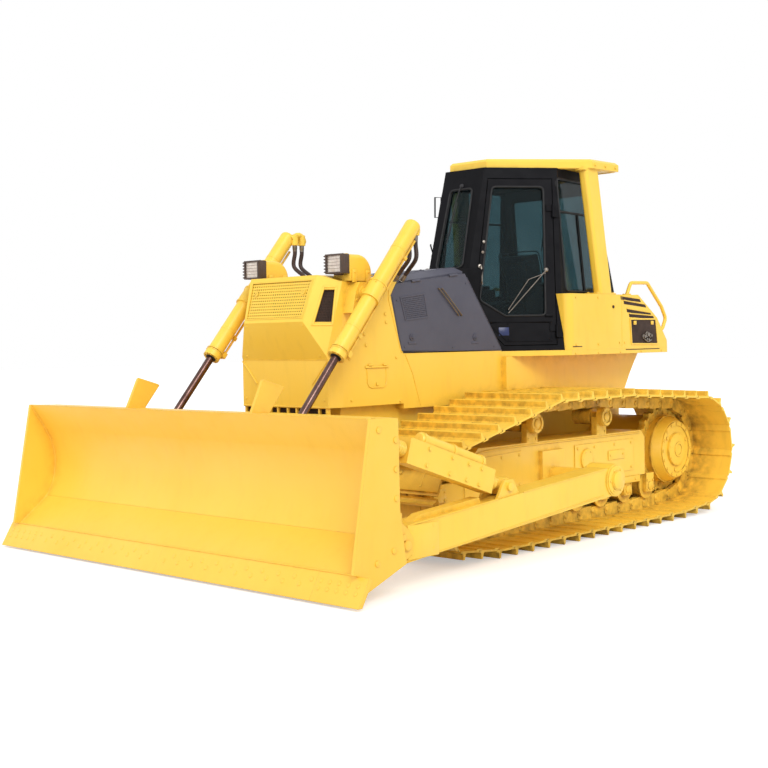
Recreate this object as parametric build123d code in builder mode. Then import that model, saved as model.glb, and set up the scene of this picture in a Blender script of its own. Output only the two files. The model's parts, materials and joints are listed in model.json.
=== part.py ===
"""Wide-track bulldozer with a straight tilt blade and an enclosed cab.

Millimetres. X points forward, Y to the machine's left and Z up. The origin is on the
ground, below the middle of the machine. Left-hand pieces are modelled, and mirrored in
the XZ plane for the right-hand side.
"""
from build123d import *
from math import acos, atan2, cos, degrees, hypot, pi, radians, sin
import os

# ---------------------------------------------------------------- driving dimensions
half_length = 2740  # blade tip forward, towing hitch to the rear
track_clearance = 50  # between the engine bay's side and a track's shoes
shoe_width = 950
link_count = 44
grouser_height = 50
plate_thickness = 15
link_above = 60  # from the pitch line out to the shoe plate
link_below = 45  # from the pitch line in to the rail that the rollers run on
rail_inner = 45  # one rail's faces, from the middle of the track
rail_outer = 90

sprocket_x, sprocket_z, sprocket_pitch_radius = -2202, 565, 408
idler_x, idler_z, idler_pitch_radius = 1075, 461, 301
roller_radius = 100
roller_front_x, roller_rear_x, roller_count = 700, -1800, 8
carrier_x = (-1020, -50)
carrier_z, carrier_radius = 925, 70
run_clearance = 0.3  # between two pieces that run or rest on one another
pin_clearance = 0.1

frame_half_width = 165  # of a track frame's box
frame_bottom, frame_top = 385, 775

hull_half_width = 420  # between the tracks
hull_bottom, hull_top = 510, 1100
deck_top, deck_thickness = 1485, 45
deck_half_width = 850
body_half_width = 500  # engine bay, mask and side covers
panel = 25  # thickness of covers and panels
mask_rear = 680
cover_sill = 1490  # bottom edge of the side covers

blade_past_arm = 185  # from a push arm's outer face to the blade's end
edge_overhang = 85  # of the cutting edge, past the blade's side plates
blade_top, blade_tip_z = 1125, 15
moldboard_thickness = 22

arm_pivot_x, arm_pivot_z = -280, 495
arm_gap = 100  # between a track's shoes and its push arm
arm_width = 200
arm_pin_radius = 75

lift_offset = 200  # of a lift cylinder, from the engine bay's side
yoke_x, yoke_z = 1210, 1950
eye_x, eye_z = 2165, 840
barrel_radius, barrel_bore = 62, 50
rod_radius = 30
barrel_behind, barrel_ahead = 700, 620  # the barrel's two ends, from its trunnion
rod_inside = 475  # rod inside the barrel at rest, measured from the gland's face
yoke_pin_radius = 32
eye_half_width = 45

cab_wall = 50
glass = 8
roof_bottom, roof_thickness = 3080, 80
cab_floor, cab_roof = deck_top, roof_bottom
roof_top = roof_bottom + roof_thickness

ground_z = 0
rear_hull_half_width = body_half_width + track_clearance
track_y = rear_hull_half_width + shoe_width / 2  # the middle of a track
arm_inner = track_y + shoe_width / 2 + arm_gap
arm_outer = arm_inner + arm_width
blade_half_width = arm_outer + blade_past_arm
side_plate_y = blade_half_width - edge_overhang
lift_y = body_half_width + lift_offset
link_outer = link_above + plate_thickness
grouser_tip = link_outer + grouser_height
roller_z = ground_z + grouser_tip + link_below + roller_radius

os.makedirs("parts", exist_ok=True)


# ---------------------------------------------------------------- helpers
def block(x_range, y_range, z_range, mode=Mode.ADD):
    """A box between pairs of limits."""
    size = [high - low for low, high in (x_range, y_range, z_range)]
    middle = [(low + high) / 2 for low, high in (x_range, y_range, z_range)]
    with Locations(tuple(middle)):
        Box(*size, mode=mode)


def side_plate(points, y_low, y_high, mode=Mode.ADD):
    """A plate with an outline of (x, z) points, between two values of y."""
    with BuildSketch(Plane.XZ.offset(-y_high)) as outline:
        Polygon(*points, align=None)
    extrude(outline.sketch, amount=y_high - y_low, mode=mode)


def floor_plate(points, z_low, z_high, mode=Mode.ADD):
    """A plate with an outline of (x, y) points, between two heights."""
    with BuildSketch(Plane.XY.offset(z_low)) as outline:
        Polygon(*points, align=None)
    extrude(outline.sketch, amount=z_high - z_low, mode=mode)


def bar(start, end, radius, mode=Mode.ADD):
    """A round bar from one point to another."""
    axis = Vector(*end) - Vector(*start)
    with BuildSketch(Plane(origin=start, z_dir=axis)) as disc:
        Circle(radius)
    extrude(disc.sketch, amount=axis.length, mode=mode)


def cross_bar(x, z, y_low, y_high, radius, mode=Mode.ADD):
    """A round bar across the machine."""
    bar((x, y_low, z), (x, y_high, z), radius, mode=mode)


def trim(origin, normal):
    """Cut away what lies beyond a plane, on the side its normal points to."""
    split(bisect_by=Plane(origin=origin, z_dir=normal), keep=Keep.BOTTOM)


def write(piece, name):
    """Label a finished piece and write its file."""
    piece.part.label = name
    export_step(piece.part, f"parts/{name}.step")


def write_both(piece, name):
    """Write the left-hand pieces and their mirror images in one file."""
    with BuildPart() as pieces:
        add(piece.part)
        mirror(piece.part, about=Plane.XZ)
    write(pieces, name)


def write_pair(piece, name):
    """Write a left-hand piece, and its mirror image for the right."""
    write(piece, f"{name}_left")
    with BuildPart() as twin:
        mirror(piece.part, about=Plane.XZ)
    write(twin, f"{name}_right")


def both_sides(points):
    """An outline given on the left, closed by its mirror image on the right."""
    return points + [(x, -y) for x, y in reversed(points)]


def mirrored(piece):
    """The right-hand copy of a left-hand shape."""
    return piece.mirror(Plane.XZ)


# ---------------------------------------------------------------- track loop
# Wheels that the pitch line wraps, clockwise from the rear: x, z, radius at the pitch line.
wheels = (
    [(sprocket_x, sprocket_z, sprocket_pitch_radius)]
    + [(x, carrier_z, carrier_radius + link_below) for x in carrier_x]
    + [(idler_x, idler_z, idler_pitch_radius)]
    + [(x, roller_z, roller_radius + link_below) for x in (roller_front_x, roller_rear_x)]
)


def run_angle(wheel, following):
    """Direction of the outward normal of the straight run between two wheels."""
    dx = following[0] - wheel[0]
    dz = following[1] - wheel[1]
    return atan2(dz, dx) + acos((wheel[2] - following[2]) / hypot(dx, dz))


def loop_stretches():
    """The pitch line as (length, wheel, angle in, following wheel) stretches."""
    stretches = []
    for index, wheel in enumerate(wheels):
        following = wheels[(index + 1) % len(wheels)]
        angle_in = run_angle(wheels[index - 1], wheel)
        angle_out = run_angle(wheel, following)
        turn = (angle_in - angle_out) % (2 * pi)
        run = hypot(following[0] - wheel[0], following[1] - wheel[1])
        straight = (run**2 - (wheel[2] - following[2]) ** 2) ** 0.5
        stretches.append((wheel[2] * turn, wheel, angle_in, None))
        stretches.append((straight, wheel, angle_out, following))
    return stretches


stretches = loop_stretches()
loop_length = sum(stretch[0] for stretch in stretches)
link_pitch = loop_length / link_count


def link_place(distance):
    """The place on the pitch line at a distance along it, turned to its outward normal."""
    distance %= loop_length
    for length, (x, z, radius), angle, following in stretches:
        if distance <= length:
            break
        distance -= length
    along = distance if following else 0
    if not following:
        angle -= distance / radius
    px = x + radius * cos(angle) + along * sin(angle)
    pz = z + radius * sin(angle) - along * cos(angle)
    return Location((px, pz, 0), (0, 0, degrees(angle) - 90))


def track_ring(outline, y_low, y_high):
    """One outline of (along, outward) points on every link, made into one ring."""
    with BuildSketch(Plane.XZ.offset(-y_high)) as ring:
        for index in range(link_count):
            with Locations(link_place((index + 0.35) * link_pitch)):
                Polygon(*outline, align=None)
    extrude(ring.sketch, amount=y_high - y_low)


half_link = link_pitch / 2
plate_outline = [
    (-half_link, link_above),
    (half_link, link_above),
    (half_link, link_outer),
    (-half_link + 58, link_outer),
    (-half_link + 48, grouser_tip),
    (-half_link + 24, grouser_tip),
    (-half_link + 14, link_outer),
    (-half_link, link_outer),
]
link_outline = [
    (-half_link - 4, -link_below),
    (half_link + 4, -link_below),
    (half_link + 4, link_above + 4),
    (-half_link - 4, link_above + 4),
]

with BuildPart() as track:
    track_ring(plate_outline, track_y - shoe_width / 2, track_y + shoe_width / 2)
    for low, high in ((-rail_outer, -rail_inner), (rail_inner, rail_outer)):
        track_ring(link_outline, track_y + low, track_y + high)
write_pair(track, "track")

# ---------------------------------------------------------------- undercarriage
roller_step = (roller_front_x - roller_rear_x) / (roller_count - 1)
roller_places = [roller_rear_x + roller_step * index for index in range(roller_count)]
flange = 20  # how far a roller's flanges stand past its tread
flange_inner, flange_outer = rail_outer + 7, rail_outer + 22
collar_outer = frame_half_width - 15

with BuildPart() as track_rollers:
    for x in roller_places:
        cross_bar(x, roller_z, track_y - rail_outer, track_y + rail_outer, roller_radius - run_clearance)
        cross_bar(x, roller_z, track_y - collar_outer, track_y + collar_outer, 45)
        for side in (-1, 1):
            flange_faces = sorted((track_y + side * flange_inner, track_y + side * flange_outer))
            cross_bar(x, roller_z, *flange_faces, roller_radius + flange - 5)
            collar_faces = sorted((track_y + side * (flange_outer + 4), track_y + side * collar_outer))
            block((x - 60, x + 60), collar_faces, (roller_z - 50, frame_bottom))
    block((-5000, 5000), (track_y - rail_inner + 6, track_y + rail_inner - 6), (0, 150), Mode.SUBTRACT)
write_both(track_rollers, "track_rollers")

carrier_cap = 80
carrier_bracket_inner, carrier_bracket_outer = 112, frame_half_width
with BuildPart() as carrier_rollers:
    for x in carrier_x:
        cross_bar(x, carrier_z, track_y - rail_outer, track_y + rail_outer, carrier_radius - run_clearance)
        cross_bar(x, carrier_z, track_y, track_y + 215, 40)
        cross_bar(x, carrier_z, track_y + carrier_bracket_outer, track_y + 215, carrier_cap)
        bracket_faces = (track_y + carrier_bracket_inner, track_y + carrier_bracket_outer)
        block((x - 70, x + 70), bracket_faces, (frame_top, carrier_z))
write_both(carrier_rollers, "carrier_rollers")

frame_front_x, frame_rear_x = 790, -1690
fork_inner, fork_outer = 120, 160
with BuildPart() as track_frame:
    frame_outline = [
        (frame_rear_x, frame_bottom),
        (frame_front_x, frame_bottom),
        (frame_front_x, frame_top - 130),
        (frame_front_x - 170, frame_top),
        (frame_rear_x + 60, frame_top),
        (frame_rear_x, frame_top - 60),
    ]
    side_plate(frame_outline, track_y - frame_half_width, track_y + frame_half_width)
    for side in (-1, 1):
        fork = sorted((track_y + side * fork_inner, track_y + side * fork_outer))
        block((frame_front_x, idler_x + 90), fork, (idler_z - 80, idler_z + 80))
    pivot_end = arm_outer + 30
    cross_bar(arm_pivot_x, arm_pivot_z, track_y + frame_half_width, pivot_end, arm_pin_radius)
    block((arm_pivot_x - 150, arm_pivot_x + 150), (track_y + frame_half_width, track_y + 205), (390, 700))
    cross_bar(-1250, 580, hull_half_width, track_y - frame_half_width, 90)
    block((500, 700), (hull_half_width, track_y - frame_half_width), (560, 700))
write_pair(track_frame, "track_frame")

with BuildPart() as idler:
    idler_radius = idler_pitch_radius - link_below - run_clearance
    cross_bar(idler_x, idler_z, track_y - rail_outer, track_y + rail_outer, idler_radius)
    cross_bar(idler_x, idler_z, track_y - rail_inner + 8, track_y + rail_inner - 8, idler_radius + 22)
    for side in (-1, 1):
        dish = sorted((track_y + side * 60, track_y + side * (rail_outer + 10)))
        cross_bar(idler_x, idler_z, *dish, idler_radius - 45, mode=Mode.SUBTRACT)
    cross_bar(idler_x, idler_z, track_y - fork_inner, track_y + fork_inner, 70)
write_both(idler, "idlers")

tooth_count = 25
tooth_root, tooth_depth = sprocket_pitch_radius - 42, 36
hub_radius = 300
with BuildPart() as sprocket:
    with BuildSketch(Plane.XZ.offset(-track_y)) as sprocket_face:
        with Locations((sprocket_x, sprocket_z)):
            Circle(tooth_root)
            with PolarLocations(tooth_root + 8, tooth_count):
                Trapezoid(56, tooth_depth, 68, rotation=-90)
            Circle(hub_radius + run_clearance, mode=Mode.SUBTRACT)
    extrude(amount=30, both=True)
write_both(sprocket, "sprockets")

hub_face, hub_face_radius = track_y + 175, 258
with BuildPart() as final_drive:
    cross_bar(sprocket_x, sprocket_z, hull_half_width, hub_face, hub_radius)
    rim = final_drive.faces().sort_by(Axis.Y)[-1].edges()
    chamfer(rim, length=90, length2=hub_radius - hub_face_radius)
    cross_bar(sprocket_x, sprocket_z, hub_face, hub_face + 14, 150)
write_both(final_drive, "final_drives")

# ---------------------------------------------------------------- hull and deck
with BuildPart() as main_frame:
    hull_outline = [
        (-2350, hull_bottom + 60),
        (-2250, hull_bottom),
        (1050, hull_bottom),
        (1300, hull_bottom + 200),
        (1300, hull_top),
        (-2480, hull_top),
        (-2480, hull_bottom + 250),
    ]
    side_plate(hull_outline, -hull_half_width, hull_half_width)
    rear_outline = [
        (-560, hull_top),
        (-560, deck_top - deck_thickness),
        (-2620, deck_top - deck_thickness),
        (-2480, 1255),
        (-2380, hull_top),
    ]
    side_plate(rear_outline, -rear_hull_half_width, rear_hull_half_width)
    for side in (-1, 1):
        band = sorted((side * body_half_width, side * (body_half_width - panel)))
        block((-560, mask_rear), band, (hull_top - 40, cover_sill))
    block((-600, mask_rear), (-body_half_width, body_half_width), (hull_top - 40, hull_top))
write(main_frame, "main_frame")

deck_front, deck_door_x, deck_rear = -560, -1090, -2655
with BuildPart() as deck:
    deck_outline = [(deck_front, body_half_width)]
    deck_outline += [(x, deck_half_width) for x in (deck_door_x, deck_rear)]
    floor_plate(both_sides(deck_outline), deck_top - deck_thickness, deck_top)
write(deck, "deck")

hitch_thickness, hitch_pin_radius, hitch_z, hitch_step = 60, 27, 560, 160
hitch_half_width, hitch_base_x, hitch_pin_x = 130, -2480, -half_length + 48
with BuildPart() as hitch:
    hitch_faces = (-hitch_half_width, hitch_half_width)
    for height in (hitch_z, hitch_z + hitch_step):
        block((-half_length, hitch_base_x), hitch_faces, (height, height + hitch_thickness))
    block((hitch_base_x - 40, hitch_base_x), hitch_faces, (hitch_z, hitch_z + hitch_step + hitch_thickness))
    hitch_bore = ((hitch_pin_x, 0, hitch_z), (hitch_pin_x, 0, hitch_z + 400))
    bar(*hitch_bore, hitch_pin_radius, mode=Mode.SUBTRACT)
write(hitch, "hitch")

# ---------------------------------------------------------------- engine bay
shoulder_y = body_half_width - 133  # where the hood's and mask's flat tops end
nose_y = body_half_width - 172  # where the mask's flat front ends, at its furthest point
# Mask and hood walls on the left: a point on the wall and its outward normal.
mask_side_wall = ((1344, body_half_width, 1741), (0.181, 0.983, 0))
mask_walls = [
    ((1472, 0, 2079), (0.948, 0, 0.317)),
    ((1585, 0, 1741), (0.935, 0, -0.354)),
    ((1585, nose_y, 1741), (0.681, 0.718, 0.145)),
    mask_side_wall,
    ((1300, shoulder_y, 2085), (0, 0.350, 0.937)),
]
mask_foot_top, mask_foot_x = 1455, 1480  # below this height the mask's front stands straight up
mask_top = 2085
cover_gap = 4
# Outline of an engine side cover: x, z.
cover_outline = [(700, cover_sill + 20), (810, 1940), (750, 2030), (-85, 2130), (-567, cover_sill)]


def trim_walls(walls, inset):
    """Cut away what lies beyond walls and their mirror images, all moved in by an inset."""
    for point, normal in walls:
        for side in (1, -1) if normal[1] else (1,):
            facing = Vector(normal[0], side * normal[1], normal[2])
            trim(Vector(point[0], side * point[1], point[2]) - facing * inset, facing)


def mask_body(inset, x_rear, z_low):
    """The mask's closed outline, each wall moved in by the same inset."""
    faces = (inset - body_half_width, body_half_width - inset)
    with BuildPart() as upper:
        block((x_rear, 1700), faces, (mask_foot_top, mask_top - inset))
        trim_walls(mask_walls, inset)
    with BuildPart() as body:
        block((x_rear, mask_foot_x - inset), faces, (z_low, mask_foot_top))
        trim_walls([mask_side_wall], inset)
        add(upper.part)
    return body.part


# Openings in the mask: across and up, in the plane of the wall that each is cut in.
grille_face = Plane(origin=(1472, 0, 2079), x_dir=(0, 1, 0), z_dir=(0.948, 0, 0.317))
grille_opening = [(12 - nose_y, -331), (nose_y - 12, -331), (shoulder_y - 27, -25), (27 - shoulder_y, -25)]
intake_middle = (1445, body_half_width - 63, 1856)
intake_opening = [(-96, -126), (42, -128), (72, 127), (-17, 128)]

with BuildPart() as mask:
    add(mask_body(0, mask_rear, hull_top))
    add(mask_body(panel, mask_rear - 100, hull_top - 50), mode=Mode.SUBTRACT)
    rear_cut = [(x + cover_gap, z) for x, z in cover_outline[:3]]
    rear_cut = [(mask_rear - 50, cover_sill)] + rear_cut
    rear_cut += [(cover_outline[2][0] + cover_gap, 2200), (mask_rear - 50, 2200)]
    side_plate(rear_cut, -600, 600, Mode.SUBTRACT)
    with BuildSketch(grille_face):
        Polygon(*grille_opening, align=None)
    extrude(amount=60, both=True, mode=Mode.SUBTRACT)
    with BuildPart(mode=Mode.PRIVATE) as intake_cut:
        facing = Vector(*mask_walls[2][1])
        with BuildSketch(Plane(origin=intake_middle, x_dir=(-facing.Y, facing.X, 0), z_dir=facing)):
            Polygon(*intake_opening, align=None)
        extrude(amount=60, both=True)
    add(intake_cut.part, mode=Mode.SUBTRACT)
    add(mirrored(intake_cut.part), mode=Mode.SUBTRACT)
    for side in (1, -1):
        ear = [(1150, 1800), (1330, 1800), (1290, 1960), (1250, 2030), (1170, 2030), (1130, 1960)]
        faces = sorted((side * body_half_width, side * (body_half_width + 95)))
        side_plate(ear, *faces)
        cross_bar(yoke_x, yoke_z, *faces, yoke_pin_radius + pin_clearance, mode=Mode.SUBTRACT)
write(mask, "radiator_mask")

with BuildPart() as grille:
    with BuildSketch(grille_face.offset(-14)):
        Polygon(*grille_opening, align=None)
        offset(amount=-0.5, kind=Kind.INTERSECTION, mode=Mode.REPLACE)
    extrude(amount=-9)
write(grille, "radiator_grille")

hood_front_x, hood_front_z, hood_rear_x, hood_rear_z = 750, 2085, -85, 2185
hood_depth = 75
hood_half_width = body_half_width - panel - run_clearance
hood_tilt = atan2(hood_rear_z - hood_front_z, hood_front_x - hood_rear_x)


def hood_body(inset):
    """The hood's closed outline; the inset lowers its top and narrows its sides."""
    with BuildPart() as body:
        outline = [
            (hood_front_x, hood_front_z - inset),
            (hood_rear_x, hood_rear_z - inset),
            (hood_rear_x, hood_rear_z - hood_depth),
            (hood_front_x, hood_front_z - hood_depth),
        ]
        side_plate(outline, inset - hood_half_width, hood_half_width - inset)
        for side in (-1, 1):
            shoulder = Vector(hood_front_x, side * shoulder_y, hood_front_z - inset)
            trim(shoulder, Vector(sin(hood_tilt), side * 0.374, 0.927))
    return body.part


# Side cover hinges, on the cover's upper edge: each has a knuckle on the cover and one on the hood.
cover_hinge_start, cover_hinge_end = [Vector(x, body_half_width, z) for x, z in cover_outline[2:4]]
cover_hinge_line = (cover_hinge_end - cover_hinge_start).normalized()
cover_hinge_places, cover_knuckle = (180, 640), 50
cover_knuckle_radius, cover_pin_radius = 11, 5


def cover_hinge(start, length, radius, mode=Mode.ADD):
    """A round part of each side cover hinge, starting at a distance past its place."""
    for place in cover_hinge_places:
        begin = cover_hinge_start + cover_hinge_line * (place + start)
        bar(begin, begin + cover_hinge_line * length, radius, mode)


def hood_lugs():
    """Straps that carry the hood's knuckles, just over the cover's upper edge."""
    for place in cover_hinge_places:
        lug_span = (place + cover_knuckle + run_clearance, place + 2 * cover_knuckle)
        lug_ends = [cover_hinge_start + cover_hinge_line * distance for distance in lug_span]
        outline = [(end.X, end.Z + run_clearance) for end in lug_ends]
        outline += [(end.X, end.Z + 9) for end in reversed(lug_ends)]
        side_plate(outline, hood_half_width - 10, body_half_width)


with BuildPart() as hood:
    add(hood_body(0))
    with Locations((0, 0, -0.5)):
        add(hood_body(panel), mode=Mode.SUBTRACT)
    with BuildPart(mode=Mode.PRIVATE) as hood_hinges:
        hood_lugs()
        cover_hinge(cover_knuckle + run_clearance, cover_knuckle - run_clearance, cover_knuckle_radius)
        cover_hinge(10, 2 * cover_knuckle - 20, cover_pin_radius)
    add(hood_hinges.part)
    add(mirrored(hood_hinges.part))
write(hood, "hood")

with BuildPart() as side_cover:
    side_plate(cover_outline, body_half_width - panel, body_half_width)
    cover_hinge(cover_knuckle, cover_knuckle + 0.6, cover_knuckle_radius + 0.5, Mode.SUBTRACT)
    cover_hinge(0, cover_knuckle, cover_knuckle_radius)
    cover_hinge(0, cover_knuckle, cover_pin_radius + pin_clearance, Mode.SUBTRACT)
write_pair(side_cover, "side_cover")

with BuildPart() as engine:
    block((0, 1000), (-280, 280), (hull_top, 1850))
    block((1080, 1220), (-400, 400), (hull_top, 1980))
    block((1000, 1080), (-60, 60), (1400, 1520))
write(engine, "engine_block")

# ---------------------------------------------------------------- cab
# Cab walls on the left: a point on the wall and its outward normal.
cab_walls = {
    "front": ((-469, 0, 2170), (0.966, 0, 0.258)),
    "door": ((-600, 470, 1490), (0.587, 0.792, 0.166)),
    "side": ((-1040, 800, 1470), (-0.132, 0.986, 0.100)),
    "rear": ((-2150, 0, 1980), (-0.981, 0, 0.196)),
}


def cab_body(inset, z_low, z_high):
    """The cab's closed outline between two heights, each wall moved in by the same inset."""
    with BuildPart() as body:
        block((-2400, -100), (-900, 900), (z_low, z_high))
        trim_walls(cab_walls.values(), inset)
    return body.part


def wall_slab(name, outline, near, far, corner=0, inset=0):
    """A slab in a cab wall with an outline of (along, up) points, between two depths."""
    point, normal = cab_walls[name]
    along = (-normal[1], normal[0], 0)
    face = Plane(origin=point, x_dir=along, z_dir=normal)
    with BuildPart() as slab:
        with BuildSketch(face.offset(-near)) as shape:
            Polygon(*outline, align=None)
            if inset:
                offset(amount=-inset, kind=Kind.INTERSECTION, mode=Mode.REPLACE)
            if corner:
                fillet(shape.vertices(), corner)
        extrude(amount=near - far)
    return slab.part


def wall_point(name, along, up, out):
    """A point given in a cab wall's plane, and its distance out from the wall."""
    point, normal = cab_walls[name]
    across = Vector(-normal[1], normal[0], 0).normalized()
    rise = Vector(*normal).cross(across).normalized()
    return Vector(*point) + across * along + rise * up + Vector(*normal).normalized() * out


# Openings in the walls, in each wall's plane: along, up.
front_window = [(-150, 40), (150, 40), (125, 760), (-125, 760)]
rear_window = [(-490, 60), (490, 60), (425, 950), (-425, 950)]
door_opening = [(25, 40), (500, 40), (547, 1515), (-34, 1515), (-230, 315)]
door_window = [(50, 300), (410, 300), (462, 1440), (0, 1440), (-168, 440)]
side_window = [(155, 530), (960, 530), (900, 1525), (195, 1525)]
door_gap = 6
corner_radius = 45

# Door hinges, on a line just outside the door's rear edge.
hinge_out, hinge_radius, hinge_pin = 15, 15, 8
hinge_low = wall_point("door", 498.9, 100, hinge_out)
hinge_line = (wall_point("door", 540.3, 1400, hinge_out) - hinge_low).normalized()
hinge_places, knuckle = (60, 1120), 55
strap_length, strap_thickness = 62, 10


def hinge_knuckle(place, along):
    """A knuckle on the hinge line, with a strap that reaches back along the wall."""
    start = hinge_low + hinge_line * place
    bar(start, start + hinge_line * knuckle, hinge_radius)
    normal = Vector(*cab_walls["door"][1]).normalized()
    across = hinge_line.cross(normal)
    middle = start + hinge_line * (knuckle / 2) + across * (along / 2)
    middle -= normal * (hinge_out - strap_thickness / 2)
    with BuildSketch(Plane(origin=middle, x_dir=across, z_dir=normal)) as strap:
        Rectangle(abs(along), knuckle)
    extrude(strap.sketch, amount=strap_thickness / 2, both=True)


def hinge_pins(mode, radius):
    """The hinge pins, each standing up out of the frame's knuckle."""
    for place in hinge_places:
        start = hinge_low + hinge_line * (place - knuckle + 10)
        bar(start, start + hinge_line * (2 * knuckle - 15), radius, mode)


with BuildPart() as cab_frame:
    add(cab_body(0, cab_floor, cab_roof))
    add(cab_body(cab_wall, cab_floor + 30, cab_roof - 80), mode=Mode.SUBTRACT)
    add(wall_slab("front", front_window, -5, 80, corner_radius), mode=Mode.SUBTRACT)
    add(wall_slab("rear", rear_window, -5, 80, corner_radius), mode=Mode.SUBTRACT)
    for opening in (
        wall_slab("door", door_opening, -5, 90),
        wall_slab("side", side_window, -5, 80, corner_radius),
    ):
        add(opening, mode=Mode.SUBTRACT)
        add(mirrored(opening), mode=Mode.SUBTRACT)
    with BuildPart(mode=Mode.PRIVATE) as frame_hinges:
        for place in hinge_places:
            hinge_knuckle(place - knuckle - run_clearance, strap_length - 12)
        hinge_pins(Mode.ADD, hinge_pin)
    add(frame_hinges.part)
    add(mirrored(frame_hinges.part))
write(cab_frame, "cab_frame")

pane_gap = 0.3
pane_depths = (18, 18 + glass)
with BuildPart() as cab_glass:
    add(wall_slab("front", front_window, *pane_depths, corner_radius - pane_gap, pane_gap))
    add(wall_slab("rear", rear_window, *pane_depths, corner_radius - pane_gap, pane_gap))
    side_pane = wall_slab("side", side_window, *pane_depths, corner_radius - pane_gap, pane_gap)
    add(side_pane)
    add(mirrored(side_pane))
write(cab_glass, "cab_glass")

with BuildPart() as cab_door:
    add(wall_slab("door", door_opening, 0, cab_wall - 8, 0, door_gap))
    add(wall_slab("door", door_window, -5, 80, corner_radius), mode=Mode.SUBTRACT)
    for place in hinge_places:
        hinge_knuckle(place, -strap_length)
    hinge_pins(Mode.SUBTRACT, hinge_pin + pin_clearance)
write_pair(cab_door, "cab_door")

with BuildPart() as door_glass:
    add(wall_slab("door", door_window, *pane_depths, corner_radius - pane_gap, pane_gap))
write_pair(door_glass, "door_glass")

cowl_thickness = 20
with BuildPart() as dash_cowl:
    cowl_front = [(hood_rear_x, 2130), (-567, cover_sill)]
    cowl_front += [(-567 - cowl_thickness, cover_sill), (hood_rear_x - cowl_thickness, 2130)]
    side_plate(cowl_front, -body_half_width, body_half_width)
    cowl_top = [
        (hood_rear_x - run_clearance, hood_rear_z),
        (-490, hood_rear_z),
        (-400, 1850),
        (-330, 1850),
        (hood_rear_x - run_clearance, 2130),
    ]
    side_plate(cowl_top, -shoulder_y, shoulder_y)
    add(cab_body(-2, cab_floor - 10, cab_roof), mode=Mode.SUBTRACT)
write(dash_cowl, "dash_cowl")

with BuildPart() as seat:
    block((-1500, -1020), (-200, 200), (cab_floor + 30, 1780))
    block((-1560, -980), (-260, 260), (1780, 1930))
    side_plate([(-1420, 1930), (-1560, 1930), (-1680, 2400), (-1580, 2400)], -250, 250)
write(seat, "seat")

with BuildPart() as consoles:
    block((-1500, -950), (300, 440), (cab_floor + 30, 2050))
    bar((-1050, 370, 2050), (-1020, 370, 2230), 22)
    mirror(about=Plane.XZ)
    side_plate([(-400, 1515), (-620, 1515), (-720, 2120), (-560, 2150)], -170, 170)
write(consoles, "consoles")

# ---------------------------------------------------------------- tank, boxes and guard
box_top = 1972
box_front, tank_front = -1060, -1880
tank_outline = [
    (tank_front - run_clearance, deck_top),
    (tank_front - run_clearance, box_top),
    (-2160, box_top),
    (-2480, 1764),
    (-2650, 1553),
    (deck_rear, deck_top),
]
with BuildPart() as fuel_tank:
    side_plate(tank_outline, -deck_half_width, deck_half_width)
    add(cab_body(-2, cab_floor - 10, cab_roof), mode=Mode.SUBTRACT)
write(fuel_tank, "fuel_tank")

with BuildPart() as side_box:
    block((tank_front, box_front), (500, deck_half_width), (deck_top, box_top))
    outer_corner = side_box.edges().filter_by(Axis.Z).group_by(Axis.X)[-1].sort_by(Axis.Y)[-1]
    fillet(outer_corner, 70)
    add(cab_body(-2, cab_floor - 10, cab_roof), mode=Mode.SUBTRACT)
write_both(side_box, "side_boxes")

roof_outline = [(-760, 208), (-1490, 810), (-1910, 810)]
# A guard post's section at its foot and head: height, middle x, middle y, length, width.
post_sections = [(box_top, -1650, 800, 190, 90), (roof_bottom, -1530, 740, 200, 90)]
with BuildPart() as guard:
    floor_plate(both_sides(roof_outline), roof_bottom, roof_top)
    chamfer(guard.faces().sort_by(Axis.Z)[-1].edges(), 22)
    with BuildPart(mode=Mode.PRIVATE) as post:
        for height, x, y, length, width in post_sections:
            with BuildSketch(Plane.XY.offset(height)):
                with Locations((x, y)):
                    RectangleRounded(length, width, 30)
        loft()
    add(post.part)
    add(mirrored(post.part))
write(guard, "rollover_guard")

rail_radius = 17
rail_route = [
    (-2040, box_top),
    (-2110, 2085),
    (-2390, 2090),
    (-2640, 1870),
    (-half_length + rail_radius + 8, 1760),
    (-2650, 1655),
    (-2540, 1655),
]
with BuildPart() as handrail:
    with BuildLine(Plane.XZ.offset(-800)) as route:
        FilletPolyline(*rail_route, radius=50)
    with BuildSketch(Plane(origin=route.line @ 0, z_dir=route.line % 0)):
        Circle(rail_radius)
    sweep()
    add(fuel_tank.part, mode=Mode.SUBTRACT)
write_both(handrail, "handrails")

lamp_y, lamp_half_width = body_half_width - 40, 84
lamp_front, lamp_back = 1390, 1300
lamp_bottom, lamp_top = 2092, 2238
with BuildPart() as lamp_hood:
    with BuildSketch(Plane.XZ.offset(-lamp_y)) as hood_profile:
        with BuildLine():
            Polyline((1060, 2040), (lamp_back, 2040), (lamp_back, lamp_top), (1190, lamp_top))
            TangentArc((1190, lamp_top), (1055, 2075), tangent=(-1, 0))
            Line((1055, 2075), (1060, 2040))
        make_face()
    extrude(hood_profile.sketch, amount=lamp_half_width, both=True)
    side_edges = lamp_hood.faces().filter_by(Axis.Y).edges()
    dome_edges = side_edges.filter_by(lambda edge: edge.center().Z > lamp_bottom)
    fillet(dome_edges.filter_by(lambda edge: edge.center().X < lamp_back - 5), 34)
    add(mask_body(-run_clearance, mask_rear, hull_top), mode=Mode.SUBTRACT)
write_both(lamp_hood, "lamp_hoods")

with BuildPart() as headlamp:
    lamp_faces = (lamp_y - lamp_half_width, lamp_y + lamp_half_width)
    block((lamp_back, lamp_front), lamp_faces, (lamp_bottom, lamp_top))
write_both(headlamp, "headlamps")

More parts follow.
